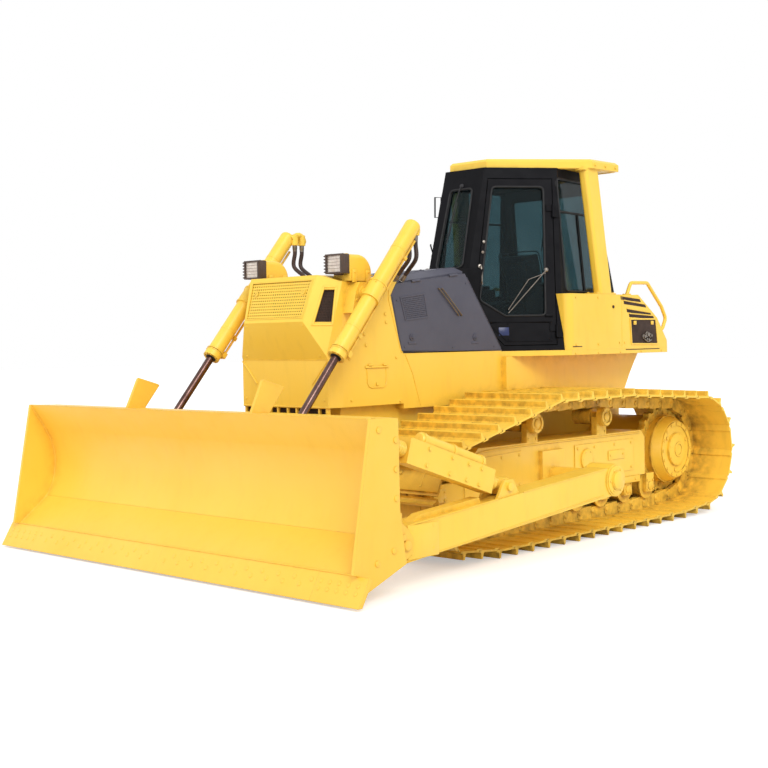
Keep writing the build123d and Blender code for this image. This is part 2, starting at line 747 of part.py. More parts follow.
# ---------------------------------------------------------------- blade
edge_tip = (half_length, blade_tip_z)
edge_top = (2640, 185)
edge_back_top, edge_back_bottom = (2612, 165), (2703, blade_tip_z)
end_bit_length = 420
moldboard_upper, moldboard_deep, moldboard_lower = (2374, 912), (2301, 654), (2389, 385)
side_front_top, side_back_x = (2515, blade_top), 2272
beam_back_x, beam_top = 2225, 520
beam_front = (edge_back_top[0] + (165 - 60) * 91 / 150, 60)
eye_ear_inner, eye_ear_outer = eye_half_width + 8, eye_half_width + 33
arm_pin_x, arm_pin_z, arm_pin_front_radius = 2130, 300, 36
ear_plate = 22
brace_y_low, brace_y_high = arm_inner + 40, arm_outer - 40
beyond_arm = (arm_inner - 100, arm_outer + 100)  # past both faces of a push arm
brace_rear, brace_front = (1020, 566), (2185, 945)  # pins at the brace's two ends
brace_pin_radius = 30
brace_faces = (
    (brace_y_low - ear_plate - 1, brace_y_low - 1),
    (brace_y_high + 1, brace_y_high + ear_plate + 1),
)
brace_pin_ends = (brace_faces[0][0] - 8, brace_faces[1][1] + 8)
rib_places = (350, 1050, arm_inner - 150)

with BuildPart() as blade:
    with BuildSketch(Plane.XZ.offset(-side_plate_y)) as skin:
        with BuildLine():
            Line(side_front_top, moldboard_upper)
            ThreePointArc(moldboard_upper, moldboard_deep, moldboard_lower)
            Polyline(moldboard_lower, edge_top, edge_back_top)
            face_points = (moldboard_lower, moldboard_deep, moldboard_upper)
            back_points = [(x - moldboard_thickness * 1.3, z) for x, z in face_points]
            Line(edge_back_top, back_points[0])
            ThreePointArc(*back_points)
            Polyline(back_points[2], (2475, blade_top), side_front_top)
        make_face()
    extrude(skin.sketch, amount=2 * side_plate_y)
    inside_plates = (panel - side_plate_y, side_plate_y - panel)
    lower_beam = [
        (beam_back_x, 208),
        (2600, 66),
        beam_front,
        edge_back_top,
        (2366, 385),
        (2290, beam_top),
        (beam_back_x, beam_top),
    ]
    side_plate(lower_beam, *inside_plates)
    upper_beam = [(side_back_x, blade_top - 8), (2500, blade_top - 8), (2365, 925), (side_back_x, 925)]
    side_plate(upper_beam, *inside_plates)
    side_outline = [
        side_front_top,
        (side_back_x, blade_top - 10),
        (side_back_x - 5, 546),
        (2215, 205),
        (2600, 62),
        beam_front,
        edge_back_top,
        edge_top,
        (2686, 196),
    ]
    side_plate(side_outline, side_plate_y - panel, side_plate_y)
    for y in rib_places:
        rib = [(2240, 510), (2240, 940), (2340, 940), (2273, 654), (2345, 420)]
        side_plate(rib, y - panel / 2, y + panel / 2)
    guard_plate = [(2322, 1340), (2129, 1281), (2280, 1100), (2440, 1100)]
    side_plate(guard_plate, lift_y - panel / 2, lift_y + panel / 2)
    rod_ear = [(2345, 930), (2275, 960), (2190, 915), (2105, 840)]
    rod_ear += [(2130, 780), (2230, 620), (2295, 560), (2287, 654)]
    for side in (-1, 1):
        faces = sorted((lift_y + side * eye_ear_inner, lift_y + side * eye_ear_outer))
        side_plate(rod_ear, *faces)
        cap = sorted((lift_y + side * eye_ear_inner, lift_y + side * (eye_ear_outer + 25)))
        cross_bar(eye_x, eye_z, *cap, 42)
    arm_ear = [(2235, 500), (2235, 210), (2150, 200), (2080, 240), (2065, 330), (2110, 400)]
    arm_faces = ((arm_inner - ear_plate - 2, arm_inner - 2), (arm_outer + 2, arm_outer + ear_plate + 2))
    for faces in arm_faces:
        side_plate(arm_ear, *faces)
    cross_bar(arm_pin_x, arm_pin_z, arm_faces[0][0] - 12, arm_faces[1][1] + 12, arm_pin_front_radius)
    brace_ear = [(2300, 1080), (2245, 1080), (2150, 1000), (2130, 930), (2160, 890), (2300, 830)]
    for faces in brace_faces:
        side_plate(brace_ear, *faces)
    cross_bar(*brace_front, *brace_pin_ends, brace_pin_radius)
    mirror(about=Plane.XZ)
write(blade, "blade")

edge_outline = [edge_top, edge_tip, edge_back_bottom, edge_back_top]
with BuildPart() as cutting_edge:
    side_plate(edge_outline, 0.5, blade_half_width - end_bit_length - 0.5)
write_both(cutting_edge, "cutting_edges")

with BuildPart() as end_bit:
    side_plate(edge_outline, blade_half_width - end_bit_length, blade_half_width)
write_both(end_bit, "end_bits")

# Push arm outline: top and bottom at its pivot and at its front end.
arm_outline = [(arm_pivot_x, 600), (arm_pivot_x, 380), (2222, 172), (2222, 408)]
with BuildPart() as push_arm:
    side_plate(arm_outline, arm_inner, arm_outer)
    cross_bar(arm_pivot_x, arm_pivot_z, arm_inner - 10, arm_outer + 10, 125)
    cross_bar(arm_pivot_x, arm_pivot_z, *beyond_arm, arm_pin_radius + pin_clearance, Mode.SUBTRACT)
    cross_bar(arm_pin_x, arm_pin_z, *beyond_arm, arm_pin_front_radius + pin_clearance, Mode.SUBTRACT)
    brace_foot = [(890, 480), (1160, 480), (1070, 615), (970, 615)]
    for faces in brace_faces:
        side_plate(brace_foot, *faces)
    cross_bar(*brace_rear, *brace_pin_ends, brace_pin_radius)
write_pair(push_arm, "push_arm")

brace_run = Vector(brace_front[0] - brace_rear[0], 0, brace_front[1] - brace_rear[1])
brace_length = brace_run.length
brace_middle_y = (brace_y_low + brace_y_high) / 2
brace_plane = Plane(
    origin=(brace_rear[0], brace_middle_y, brace_rear[1]),
    x_dir=brace_run,
    z_dir=(0, -1, 0),
)


def brace_bar(start, end, radius, mode=Mode.ADD, side=1):
    """A round bar along the brace's line, between two distances from its rear pin."""
    direction = brace_run.normalized()
    foot = Vector(brace_rear[0], side * brace_middle_y, brace_rear[1])
    bar(foot + direction * start, foot + direction * end, radius, mode)


def brace_eye(pin, side=1):
    """A lug round one of the brace's pins."""
    faces = sorted((side * brace_y_low, side * brace_y_high))
    cross_bar(*pin, *faces, 62)


def brace_pin_hole(pin, side=1):
    """The hole for one of the brace's pins."""
    faces = sorted(side * y for y in beyond_arm)
    cross_bar(*pin, *faces, brace_pin_radius + pin_clearance, Mode.SUBTRACT)


with BuildPart() as brace:
    with BuildSketch(brace_plane) as brace_side:
        with Locations((brace_length * 0.49, 0)):
            Rectangle(brace_length * 0.74, 170)
    extrude(brace_side.sketch, amount=(brace_y_high - brace_y_low) / 2, both=True)
    brace_bar(0, brace_length, 42)
    for pin in (brace_rear, brace_front):
        brace_eye(pin)
        brace_pin_hole(pin)
write(brace, "blade_brace")

with BuildPart() as tilt_barrel:
    brace_bar(90, 760, 82, side=-1)
    brace_bar(735, 775, 90, side=-1)
    brace_bar(0, 120, 42, side=-1)
    brace_eye(brace_rear, -1)
    brace_pin_hole(brace_rear, -1)
write(tilt_barrel, "tilt_cylinder")

with BuildPart() as tilt_rod:
    brace_bar(775, brace_length, 38, side=-1)
    brace_eye(brace_front, -1)
    brace_pin_hole(brace_front, -1)
write(tilt_rod, "tilt_rod")

# ---------------------------------------------------------------- lift cylinders
lift_run = Vector(eye_x - yoke_x, 0, eye_z - yoke_z)
lift_direction = lift_run.normalized()
gland_length, piston_length = 50, 40


def lift_point(distance, across=0):
    """A point on the lift cylinder's line, at a distance from its trunnion."""
    return Vector(yoke_x, lift_y + across, yoke_z) + lift_direction * distance


port_y = lift_y - barrel_radius  # of the pipes on the barrel's head
# Where each hose leaves its port: x and z.
ports = [(670, 2395), (748, 2395)]
with BuildPart() as lift_barrel:
    bar(lift_point(-barrel_behind), lift_point(barrel_ahead), barrel_radius)
    fillet(lift_barrel.edges().sort_by(Axis.Z)[-1], 30)
    bar(lift_point(barrel_ahead - gland_length), lift_point(barrel_ahead), barrel_radius + 5)
    bar(lift_point(-70), lift_point(70), barrel_radius + 9)
    cross_bar(yoke_x, yoke_z, body_half_width + 10, lift_y, yoke_pin_radius)
    bar(lift_point(-655), (ports[0][0], port_y, 2470), 26)
    for x, z in ports:
        bar((x, port_y, z), (x, port_y, 2480), 30)
    bore_start = 50 - barrel_behind
    bar(lift_point(bore_start), lift_point(barrel_ahead - gland_length), barrel_bore, Mode.SUBTRACT)
    bar(lift_point(0), lift_point(barrel_ahead + 1), rod_radius + pin_clearance, Mode.SUBTRACT)
write_pair(lift_barrel, "lift_barrel")

with BuildPart() as lift_rod:
    rod_start = barrel_ahead - rod_inside
    bar(lift_point(rod_start), lift_point(lift_run.length), rod_radius)
    bar(lift_point(rod_start), lift_point(rod_start + piston_length), barrel_bore - pin_clearance)
    cross_bar(eye_x, eye_z, lift_y - eye_half_width, lift_y + eye_half_width, 55)
write_pair(lift_rod, "lift_rod")

hose_radius = 17
hose_foot_y = body_half_width - 30
with BuildPart() as lift_hoses:
    for x, z in ports:
        points = [(x, port_y, z), (x, port_y, 2215), (x - 14, hose_foot_y, 2060)]
        with BuildLine() as hose_line:
            FilletPolyline(*points, radius=90)
        with BuildSketch(Plane(origin=hose_line.line @ 0, z_dir=hose_line.line % 0)) as hose_end:
            Circle(hose_radius)
        sweep(hose_end.sketch, path=hose_line.line)
    add(hood_body(-run_clearance), mode=Mode.SUBTRACT)
write_pair(lift_hoses, "lift_hoses")
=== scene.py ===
"""Looks of the wide-track bulldozer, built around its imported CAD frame.

Metres; X points forward, Y to the left and Z up.
"""

import json
import random
from math import acos, atan2, cos, exp, hypot, pi, radians, sin, tan

import bmesh
import bpy
from mathutils import Matrix, Vector

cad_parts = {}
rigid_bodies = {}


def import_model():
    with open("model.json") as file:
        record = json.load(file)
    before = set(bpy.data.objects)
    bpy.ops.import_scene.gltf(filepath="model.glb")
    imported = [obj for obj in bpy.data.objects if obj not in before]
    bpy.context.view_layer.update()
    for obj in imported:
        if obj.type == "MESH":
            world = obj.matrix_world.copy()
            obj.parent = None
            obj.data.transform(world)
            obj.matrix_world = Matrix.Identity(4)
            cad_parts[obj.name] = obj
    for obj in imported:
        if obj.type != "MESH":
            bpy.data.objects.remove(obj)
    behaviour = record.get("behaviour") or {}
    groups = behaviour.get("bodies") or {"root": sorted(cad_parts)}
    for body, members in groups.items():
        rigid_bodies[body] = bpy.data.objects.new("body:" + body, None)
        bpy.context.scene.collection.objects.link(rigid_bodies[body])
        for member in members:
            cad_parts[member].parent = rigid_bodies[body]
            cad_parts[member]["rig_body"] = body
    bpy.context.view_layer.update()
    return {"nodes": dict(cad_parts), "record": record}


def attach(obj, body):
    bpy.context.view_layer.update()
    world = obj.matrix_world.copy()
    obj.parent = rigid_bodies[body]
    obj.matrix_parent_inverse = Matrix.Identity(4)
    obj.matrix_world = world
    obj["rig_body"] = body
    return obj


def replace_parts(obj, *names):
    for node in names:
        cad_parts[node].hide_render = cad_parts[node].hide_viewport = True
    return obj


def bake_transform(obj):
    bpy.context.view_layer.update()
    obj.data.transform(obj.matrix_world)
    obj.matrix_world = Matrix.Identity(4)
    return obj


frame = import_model()
nodes = frame["nodes"]
dice = random.Random(7)
SIDES = (("left", 1), ("right", -1))
AHEAD, LEFT, RIGHT, UP, DOWN, BACK = (1, 0, 0), (0, 1, 0), (
    0, -1, 0
), (0, 0, 1), (0, 0, -1), (-1, 0, 0)


# ---------------------------------------------------------------- materials
def linear(red, green, blue):
    """A colour given as 0 to 255 display values, in linear light."""
    values = [c / 255 for c in (red, green, blue)]
    return tuple(c / 12.92 if c <= 0.04045 else ((c + 0.055) / 1.055) ** 2.4 for c in values) + (1,)


class Tree:
    """A material's node tree, with short ways to add its nodes."""

    def __init__(self, name):
        self.material = bpy.data.materials.new(name)
        self.material.use_nodes = True
        self.nodes = self.material.node_tree.nodes
        self.links = self.material.node_tree.links
        self.shader = self.nodes["Principled BSDF"]
        self.place = self.add("ShaderNodeTexCoord").outputs["Object"]

    def add(self, kind, **inputs):
        """A new node with its inputs set to values or linked to sockets."""
        node = self.nodes.new(kind)
        for key, value in inputs.items():
            self.put(node, key.replace("_", " "), value)
        return node

    def put(self, node, key, value):
        """One input of a node, set or linked."""
        socket = node.inputs[int(key)] if key.isdigit() else node.inputs[key]
        if isinstance(value, bpy.types.NodeSocket):
            self.links.new(value, socket)
        else:
            socket.default_value = value

    def noise(self, scale, detail=4, stretch=None):
        """Noise over the object, from 0 to 1."""
        place = self.place
        if stretch:
            mapping = self.add("ShaderNodeMapping", Vector=place)
            mapping.inputs["Scale"].default_value = stretch
            place = mapping.outputs[0]
        return self.add(
            "ShaderNodeTexNoise", Vector=place, Scale=scale, Detail=detail
        ).outputs["Fac"]

    def ramp(self, value, low, high, start=0.0, end=1.0):
        """A value taken from one range to another, and clamped."""
        node = self.add("ShaderNodeMapRange", Value=value)
        for key, number in (
            ("From Min", low), ("From Max", high), ("To Min", start), ("To Max", end)
        ):
            node.inputs[key].default_value = number
        return node.outputs[0]

    def maths(self, operation, first, second):
        """The result of one sum on two values."""
        node = self.nodes.new("ShaderNodeMath")
        node.operation = operation
        self.put(node, "0", first)
        self.put(node, "1", second)
        return node.outputs[0]

    def mix(self, factor, first, second):
        """Two colours mixed."""
        node = self.nodes.new("ShaderNodeMix")
        node.data_type = "RGBA"
        for index, value in ((0, factor), (6, first), (7, second)):
            self.put(node, str(index), value)
        return node.outputs[2]

    def edges(self, radius, low=0.02, high=0.25):
        """High where the surface turns within a radius, as at an edge, and the rounded normal."""
        bevel = self.nodes.new("ShaderNodeBevel")
        bevel.samples = 4
        bevel.inputs["Radius"].default_value = radius
        flat = self.add("ShaderNodeNewGeometry").outputs["Normal"]
        dot = self.nodes.new("ShaderNodeVectorMath")
        dot.operation = "DOT_PRODUCT"
        self.links.new(bevel.outputs[0], dot.inputs[0])
        self.links.new(flat, dot.inputs[1])
        return self.ramp(dot.outputs["Value"], 1 - low, 1 - high), bevel.outputs[0]

    def hollows(self, distance):
        """High in corners and under overhangs, where shade falls: the mask for painted shade."""
        node = self.nodes.new("ShaderNodeAmbientOcclusion")
        node.samples = 4
        node.inputs["Distance"].default_value = distance
        return self.ramp(node.outputs["AO"], 0.95, 0.35)

    def bump(self, height, strength, distance, normal=None):
        """The surface's relief."""
        node = self.add("ShaderNodeBump", Height=height, Strength=strength, Distance=distance)
        if normal:
            self.links.new(normal, node.inputs["Normal"])
        self.links.new(node.outputs[0], self.shader.inputs["Normal"])

    def finish(self, **inputs):
        """Sets the shader's inputs and returns the material."""
        for key, value in inputs.items():
            self.put(self.shader, key.replace("_", " "), value)
        return self.material


def paint(
    name, colour, faded, grime_and_shade_colour, worn, grime_and_shade_amount=0.5, edge=0.004, rough=(0.34, 0.52), coat=0.15,
    reach=0.12, **more
):
    """Sprayed paint: slow changes of tone, painted shade mixed with grime in the corners, streaks
    of dirt and rubbed edges.
    """
    tree = Tree(name)
    tone = tree.mix(tree.ramp(tree.noise(1.1, 5), 0.35, 0.7), linear(*colour), linear(*faded))
    streaks = tree.ramp(tree.noise(5, 6, (3, 3, 0.7)), 0.52, 0.8, 0, 0.35)
    # Ambient occlusion darkens corners, creases and undersides towards the third colour: painted
    # shade, broken up by speck noise so it also reads as grime.
    corner = tree.hollows(reach)
    specks = tree.ramp(tree.noise(14, 8), 0.3, 0.75)
    grime_and_shade = tree.maths("MULTIPLY", tree.maths("MULTIPLY", corner, specks), grime_and_shade_amount)
    grime_and_shade = tree.maths("MAXIMUM", grime_and_shade, tree.maths("MULTIPLY", streaks, grime_and_shade_amount * 0.4))
    # The third colour goes where the painted corner shade and the dirt streaks are.
    tone = tree.mix(grime_and_shade, tone, linear(*grime_and_shade_colour))
    rim, rounded = tree.edges(edge)
    chips = tree.maths("MULTIPLY", rim, tree.ramp(tree.noise(38, 6), 0.56, 0.66))
    tone = tree.mix(tree.maths("MULTIPLY", chips, 0.55), tone, linear(*worn))
    gloss = tree.ramp(tree.noise(9, 6), 0.3, 0.75, *rough)
    gloss = tree.maths("ADD", gloss, tree.maths("MULTIPLY", grime_and_shade, 0.25))
    tree.bump(tree.noise(240, 2), 0.05, 0.0006, rounded)
    return tree.finish(
        Base_Color=tone, Roughness=gloss, Coat_Weight=coat, Coat_Roughness=0.25, **more
    )


def glass_material():
    """Tinted cab glass with a film of dust."""
    tree = Tree("tinted_glass")
    dust = tree.ramp(tree.noise(4, 7), 0.45, 0.8, 0, 1)
    tint = tree.mix(dust, linear(104, 132, 138), linear(122, 146, 150))
    film = tree.ramp(dust, 0, 1, 0.0, 0.02)
    return tree.finish(Base_Color=tint, Roughness=film, Transmission_Weight=0.97, IOR=1.2)


def plain_material(
    name, colour, other, scale, rough, metal=0.0, relief=0.3, depth=0.0006, grain=300, **more
):
    """A moulded, cast or machined surface: mottled colour, uneven gloss and fine relief."""
    tree = Tree(name)
    mottle = tree.ramp(tree.noise(scale, 6), 0.3, 0.72)
    rim, rounded = tree.edges(0.003)
    tone = tree.mix(mottle, linear(*colour), linear(*other))
    lifted = tuple(min(c * 1.5 + 12, 255) for c in other)
    tone = tree.mix(tree.maths("MULTIPLY", rim, 0.3), tone, linear(*lifted))
    tree.bump(tree.noise(grain, 3), relief, depth, rounded)
    return tree.finish(
        Base_Color=tone, Roughness=tree.ramp(mottle, 0, 1, *rough), Metallic=metal, **more
    )


def rod_material():
    """Hard chrome with fine rings and a film of oil and dust."""
    tree = Tree("rod_chrome")
    film = tree.ramp(tree.noise(6, 6, (1, 1, 1)), 0.35, 0.7)
    tone = tree.mix(film, linear(118, 92, 84), linear(76, 54, 50))
    tree.bump(tree.noise(90, 3, (1, 8, 8)), 0.1, 0.0003)
    return tree.finish(Base_Color=tone, Roughness=tree.ramp(film, 0, 1, 0.16, 0.36), Metallic=1.0)


def lens_material():
    """A lamp's pressed glass, with fluting."""
    tree = Tree("lamp_lens")
    wave = tree.add(
        "ShaderNodeTexWave", Vector=tree.place, Scale=28.0, Distortion=0.6
    ).outputs["Fac"]
    tone = tree.mix(
        tree.ramp(tree.noise(30, 4), 0.3, 0.7), linear(238, 228, 216), linear(206, 190, 178)
    )
    tree.bump(wave, 0.35, 0.002)
    gloss = tree.ramp(wave, 0, 1, 0.08, 0.2)
    return tree.finish(Base_Color=tone, Roughness=gloss, Coat_Weight=0.8, Coat_Roughness=0.04)


def fabric_material():
    """Woven seat cloth."""
    tree = Tree("seat_cloth")
    weave = tree.add("ShaderNodeTexVoronoi", Vector=tree.place, Scale=420.0).outputs["Distance"]
    patches = tree.ramp(tree.noise(12, 5), 0.3, 0.7)
    tone = tree.mix(patches, linear(44, 46, 54), linear(60, 62, 70))
    tone = tree.mix(tree.ramp(weave, 0.1, 0.7, 0, 0.5), tone, linear(26, 27, 32))
    tree.bump(weave, 0.5, 0.0012)
    dull = tree.ramp(weave, 0, 1, 0.8, 0.95)
    return tree.finish(Base_Color=tone, Roughness=dull, Sheen_Weight=0.25, Sheen_Roughness=0.5)


# In each paint below, the third colour is laid in corners and under overhangs as painted shade, and
# in streaks as dirt.
YELLOW, FADED, BROWN, PRIMER = (252, 206, 66), (255, 213, 80), (122, 74, 20), (196, 150, 66)
machine = paint("machine_paint", YELLOW, FADED, BROWN, PRIMER, grime_and_shade_amount=0.55)
blade_tones = (251, 200, 66), (253, 206, 78), (140, 88, 28), (214, 176, 96)
blade_coat = paint("blade_paint", *blade_tones, grime_and_shade_amount=0.4, edge=0.006)
track_tones = (252, 204, 66), (255, 210, 76), (88, 52, 16), PRIMER
# The tracks' darkening is the strongest and reaches furthest: painted shade between the links and
# shoes, with some grime.
track_coat = paint(
    "track_paint", *track_tones, grime_and_shade_amount=0.95, rough=(0.42, 0.62), coat=0.05, reach=0.28
)
cab_tones = (7, 7, 11), (11, 11, 16), (26, 23, 24), (50, 50, 58)
cab_coat = paint(
    "cab_paint", *cab_tones, grime_and_shade_amount=0.3, rough=(0.45, 0.65), coat=0.0, Specular_IOR_Level=0.12
)
cover_tones = (72, 72, 86), (80, 80, 94), (52, 46, 46), (120, 120, 132)
cover_coat = paint("cover_paint", *cover_tones, grime_and_shade_amount=0.35, rough=(0.45, 0.62), coat=0.05)
glass = glass_material()
trim = plain_material("moulded_trim", (26, 26, 30), (38, 38, 42), 9, (0.5, 0.75))
rubber = plain_material(
    "hose_rubber", (50, 34, 30), (64, 46, 40), 12, (0.45, 0.7), relief=0.5, depth=0.0008, grain=160
)
seal = plain_material("window_seal", (14, 14, 16), (24, 24, 26), 16, (0.55, 0.8))
casting = plain_material(
    "engine_casting", (92, 92, 94), (116, 112, 106), 7, (0.5, 0.75), metal=0.5, relief=0.7,
    depth=0.002, grain=90
)
steel = plain_material(
    "bare_steel", (150, 144, 136), (110, 98, 88), 10, (0.28, 0.5), metal=0.9, relief=0.4,
    depth=0.0005, grain=140
)
dark_mesh_and_shade = plain_material("dark_mesh_and_shade", (58, 34, 18), (40, 24, 14), 8, (0.6, 0.85))
label_plate = plain_material("label_plate", (18, 34, 84), (26, 42, 94), 6, (0.25, 0.4))
red_lens = plain_material(
    "red_lens", (150, 16, 14), (180, 26, 20), 20, (0.12, 0.25), depth=0.001, grain=60
)
lamp_shell = plain_material("lamp_shell", (62, 48, 42), (84, 66, 56), 14, (0.4, 0.6))
tan_rod = plain_material("tan_rod", (122, 104, 78), (100, 84, 64), 12, (0.4, 0.6))
chrome = rod_material()
lens = lens_material()
cloth = fabric_material()

SLOT_MATERIAL = {
    "machine_paint": machine,
    "blade_paint": blade_coat,
    "track_paint": track_coat,
    "cab_paint": cab_coat,
    "cover_paint": cover_coat,
    "cab_glass": glass,
    "trim": trim,
    "rod_chrome": chrome,
    "hose_rubber": rubber,
    "engine_casting": casting,
    "lamp": lamp_shell,
}
SLOT_OF = {material.name: slot for slot, material in SLOT_MATERIAL.items()}
SLOT_OF.update({material.name: "trim" for material in (seal, dark_mesh_and_shade, label_plate)})
SLOT_OF.update({material.name: "rod_chrome" for material in (steel, tan_rod)})
SLOT_OF.update({material.name: "lamp" for material in (lens, red_lens)})
for part in frame["record"]["subparts"]:
    target = nodes[part["node"]]
    target.data.materials.clear()
    target.data.materials.append(SLOT_MATERIAL[part["material_slot"]])


# ---------------------------------------------------------------- mesh building
def towards(direction, spin=0.0):
    """A rotation that turns +Z to a direction."""
    turn = Vector(direction).to_track_quat("Z", "Y").to_matrix().to_4x4()
    return turn @ Matrix.Rotation(spin, 4, "Z")


def standing(place, direction):
    """A frame at a place, with its +Z in a direction."""
    return Matrix.Translation(place) @ towards(direction)


def frame_of(x, y, z, origin):
    """A frame with the given axes and origin."""
    columns = (x, y, z, Vector(origin))
    return Matrix([[c[i] for c in columns] for i in range(3)] + [[0, 0, 0, 1]])


def at_y(y, spots):
    """Points in a plane of constant Y, from (x, z) pairs."""
    return [(x, y, z) for x, z in spots]


def circle(centre, radius, count, turn=0.0, across=AHEAD, up=UP):
    """Points evenly round a circle, in the plane of two directions."""
    centre, across, up = Vector(centre), Vector(across), Vector(up)
    angles = [turn + 2 * pi * k / count for k in range(count)]
    return [centre + (across * cos(angle) + up * sin(angle)) * radius for angle in angles]


def even_points(start, end, steps=6):
    """Points evenly along a straight line."""
    start, end = Vector(start), Vector(end)
    return [start.lerp(end, t / steps) for t in range(steps + 1)]


def scaled(corners, share):
    """Corners moved towards their middle, or away from it."""
    middle = sum(corners, Vector()) / len(corners)
    return [middle + (corner - middle) * share for corner in corners]


class Shape:
    """Parts gathered into one piece's mesh, drawn on the left; the side "right" mirrors them."""

    def __init__(self, side=""):
        self.mesh = bmesh.new()
        self.side = side

    def rings(self, matrix, profile, segments):
        """Rings of points round an axis, one for each (distance along, radius)."""
        turns = [2 * pi * i / segments for i in range(segments)]
        rings = []
        for along, radius in profile:
            spots = [
                matrix @ Vector((radius * cos(turn), radius * sin(turn), along)) for turn in turns
            ]
            rings.append([self.mesh.verts.new(spot) for spot in spots])
        return rings

    def skin(self, rings):
        """Faces between each ring of points and the next."""
        for low, high in zip(rings, rings[1:]):
            for i in range(len(low)):
                j = (i + 1) % len(low)
                self.mesh.faces.new((low[i], low[j], high[j], high[i]))

    def ends(self, rings):
        """Faces that close the first and last rings."""
        self.mesh.faces.new(rings[0][::-1])
        self.mesh.faces.new(rings[-1])

    def box(self, low, high, place=None, bevel=0.0):
        """A box between two corners, its edges rounded if bevel is given."""
        low, high = Vector(low), Vector(high)
        made = bmesh.ops.create_cube(self.mesh, size=1)["verts"]
        size = [abs(c) for c in high - low]
        matrix = Matrix.Translation((low + high) / 2) @ Matrix.Diagonal((*size, 1))
        bmesh.ops.transform(self.mesh, matrix=(place or Matrix()) @ matrix, verts=made)
        if bevel:
            edges = list({e for v in made for e in v.link_edges})
            bmesh.ops.bevel(
                self.mesh, geom=edges, offset=bevel, segments=2, profile=0.5, affect="EDGES"
            )
        return self

    def block(self, place, direction, half_x, half_y, height, bevel):
        """A box standing on a surface."""
        return self.box(
            (-half_x, -half_y, 0), (half_x, half_y, height), standing(place, direction), bevel
        )

    def prism(self, outline, shift):
        """A flat outline of points moved along a vector."""
        shift = Vector(shift)
        ends = [
            [self.mesh.verts.new(Vector(p) + way) for p in outline] for way in (shift * 0, shift)
        ]
        self.ends(ends)
        self.skin(ends)
        return self

    def turned(self, start, direction, profile, segments=24, spin=0.0):
        """A turned form: (distance along, radius) points round a direction."""
        rings = self.rings(Matrix.Translation(start) @ towards(direction, spin), profile, segments)
        self.skin(rings)
        self.ends(rings)
        return self

    def rod(self, start, end, radius, segments=14):
        """A round bar with slightly broken ends."""
        run = Vector(end) - Vector(start)
        lip = min(radius * 0.2, run.length * 0.2)
        profile = [
            (0, radius - lip), (lip, radius), (run.length - lip, radius), (run.length, radius - lip)
        ]
        return self.turned(start, run, profile, segments)

    def ring(self, start, direction, inner, outer, depth, segments=28):
        """A flat ring with a hole."""
        profile = ((0, inner), (0, outer), (depth, outer), (depth, inner))
        loops = self.rings(standing(start, direction), profile, segments)
        self.skin(loops + loops[:1])
        return self

    def bolt(self, place, direction, radius=0.012, height=None):
        """A hexagon head on a washer, standing on a surface."""
        height = height or radius * 0.75
        spin = dice.uniform(0, pi / 3)
        washer = [
            (-0.003, radius * 1.35), (radius * 0.16, radius * 1.35), (radius * 0.2, radius * 1.25)
        ]
        self.turned(place, direction, washer, 12)
        head = [(0, radius), (height * 0.85, radius), (height, radius * 0.82)]
        return self.turned(place, direction, head, 6, spin)

    def bolts(self, places, direction, radius=0.012):
        """Bolts of one size, all facing the same way."""
        for place in places:
            self.bolt(place, direction, radius)

    def tube(self, points, radius, segments=10, closed=False):
        """A round tube along a line of points."""
        points = [Vector(p) for p in points]
        count = len(points)
        rings = []
        side = None
        for i, point in enumerate(points):
            if closed:
                run = points[(i + 1) % count] - points[i - 1]
            else:
                run = points[min(i + 1, count - 1)] - points[max(i - 1, 0)]
            run.normalize()
            if side is None:
                side = run.orthogonal().normalized()
            side = (side - run * side.dot(run)).normalized()
            turns = circle(point, radius, segments, 0, side, run.cross(side))
            rings.append([self.mesh.verts.new(spot) for spot in turns])
        self.skin(rings + rings[:1] if closed else rings)
        if not closed:
            self.ends(rings)
        return self

    def piece(self, name, material, body="chassis", slot=None, bevel=0.0, smooth=35):
        """Makes the parts one object on a body; SIDE in a name stands for the shape's side."""
        if self.side == "right":
            bmesh.ops.transform(
                self.mesh, matrix=Matrix.Diagonal((1, -1, 1, 1)), verts=self.mesh.verts
            )
        bmesh.ops.recalc_face_normals(self.mesh, faces=self.mesh.faces)
        name = name.replace("SIDE", self.side)
        data = bpy.data.meshes.new(name)
        self.mesh.to_mesh(data)
        self.mesh.free()
        made = bpy.data.objects.new(name, data)
        bpy.context.scene.collection.objects.link(made)
        if bevel:
            rounding = made.modifiers.new("rounding", "BEVEL")
            rounding.width = bevel
            rounding.segments = 2
            rounding.limit_method = "ANGLE"
            rounding.angle_limit = radians(40)
        data.polygons.foreach_set("use_smooth", [True] * len(data.polygons))
        data.set_sharp_from_angle(angle=radians(smooth))
        data.materials.append(material)
        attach(made, body.replace("SIDE", self.side))
        return made


def curve_points(points, steps=8):
    """Points along a smooth curve through a few given ones (Catmull-Rom)."""
    points = [Vector(p) for p in points]
    ends = [points[0] * 2 - points[1]] + points + [points[-1] * 2 - points[-2]]
    out = []
    for a, b, c, d in zip(ends, ends[1:], ends[2:], ends[3:]):
        for k in range(steps):
            t = k / steps
            square, cube = 2 * a - 5 * b + 4 * c - d, 3 * b - a - 3 * c + d
            out.append(0.5 * (2 * b + (c - a) * t + square * t**2 + cube * t**3))
    return out + [points[-1]]


def rounded_outline(points, radius, steps=5):
    """A flat outline with its corners rounded: points are (along, up)."""
    out = []
    count = len(points)
    for i in range(count):
        corner = Vector(points[i])
        back = (Vector(points[i - 1]) - corner).normalized()
        on = (Vector(points[(i + 1) % count]) - corner).normalized()
        reach = radius / tan(back.angle(on) / 2)
        start, end = corner + back * reach, corner + on * reach
        for k in range(steps + 1):
            t = k / steps
            out.append((1 - t) ** 2 * start + 2 * t * (1 - t) * corner + t**2 * end)
    return out


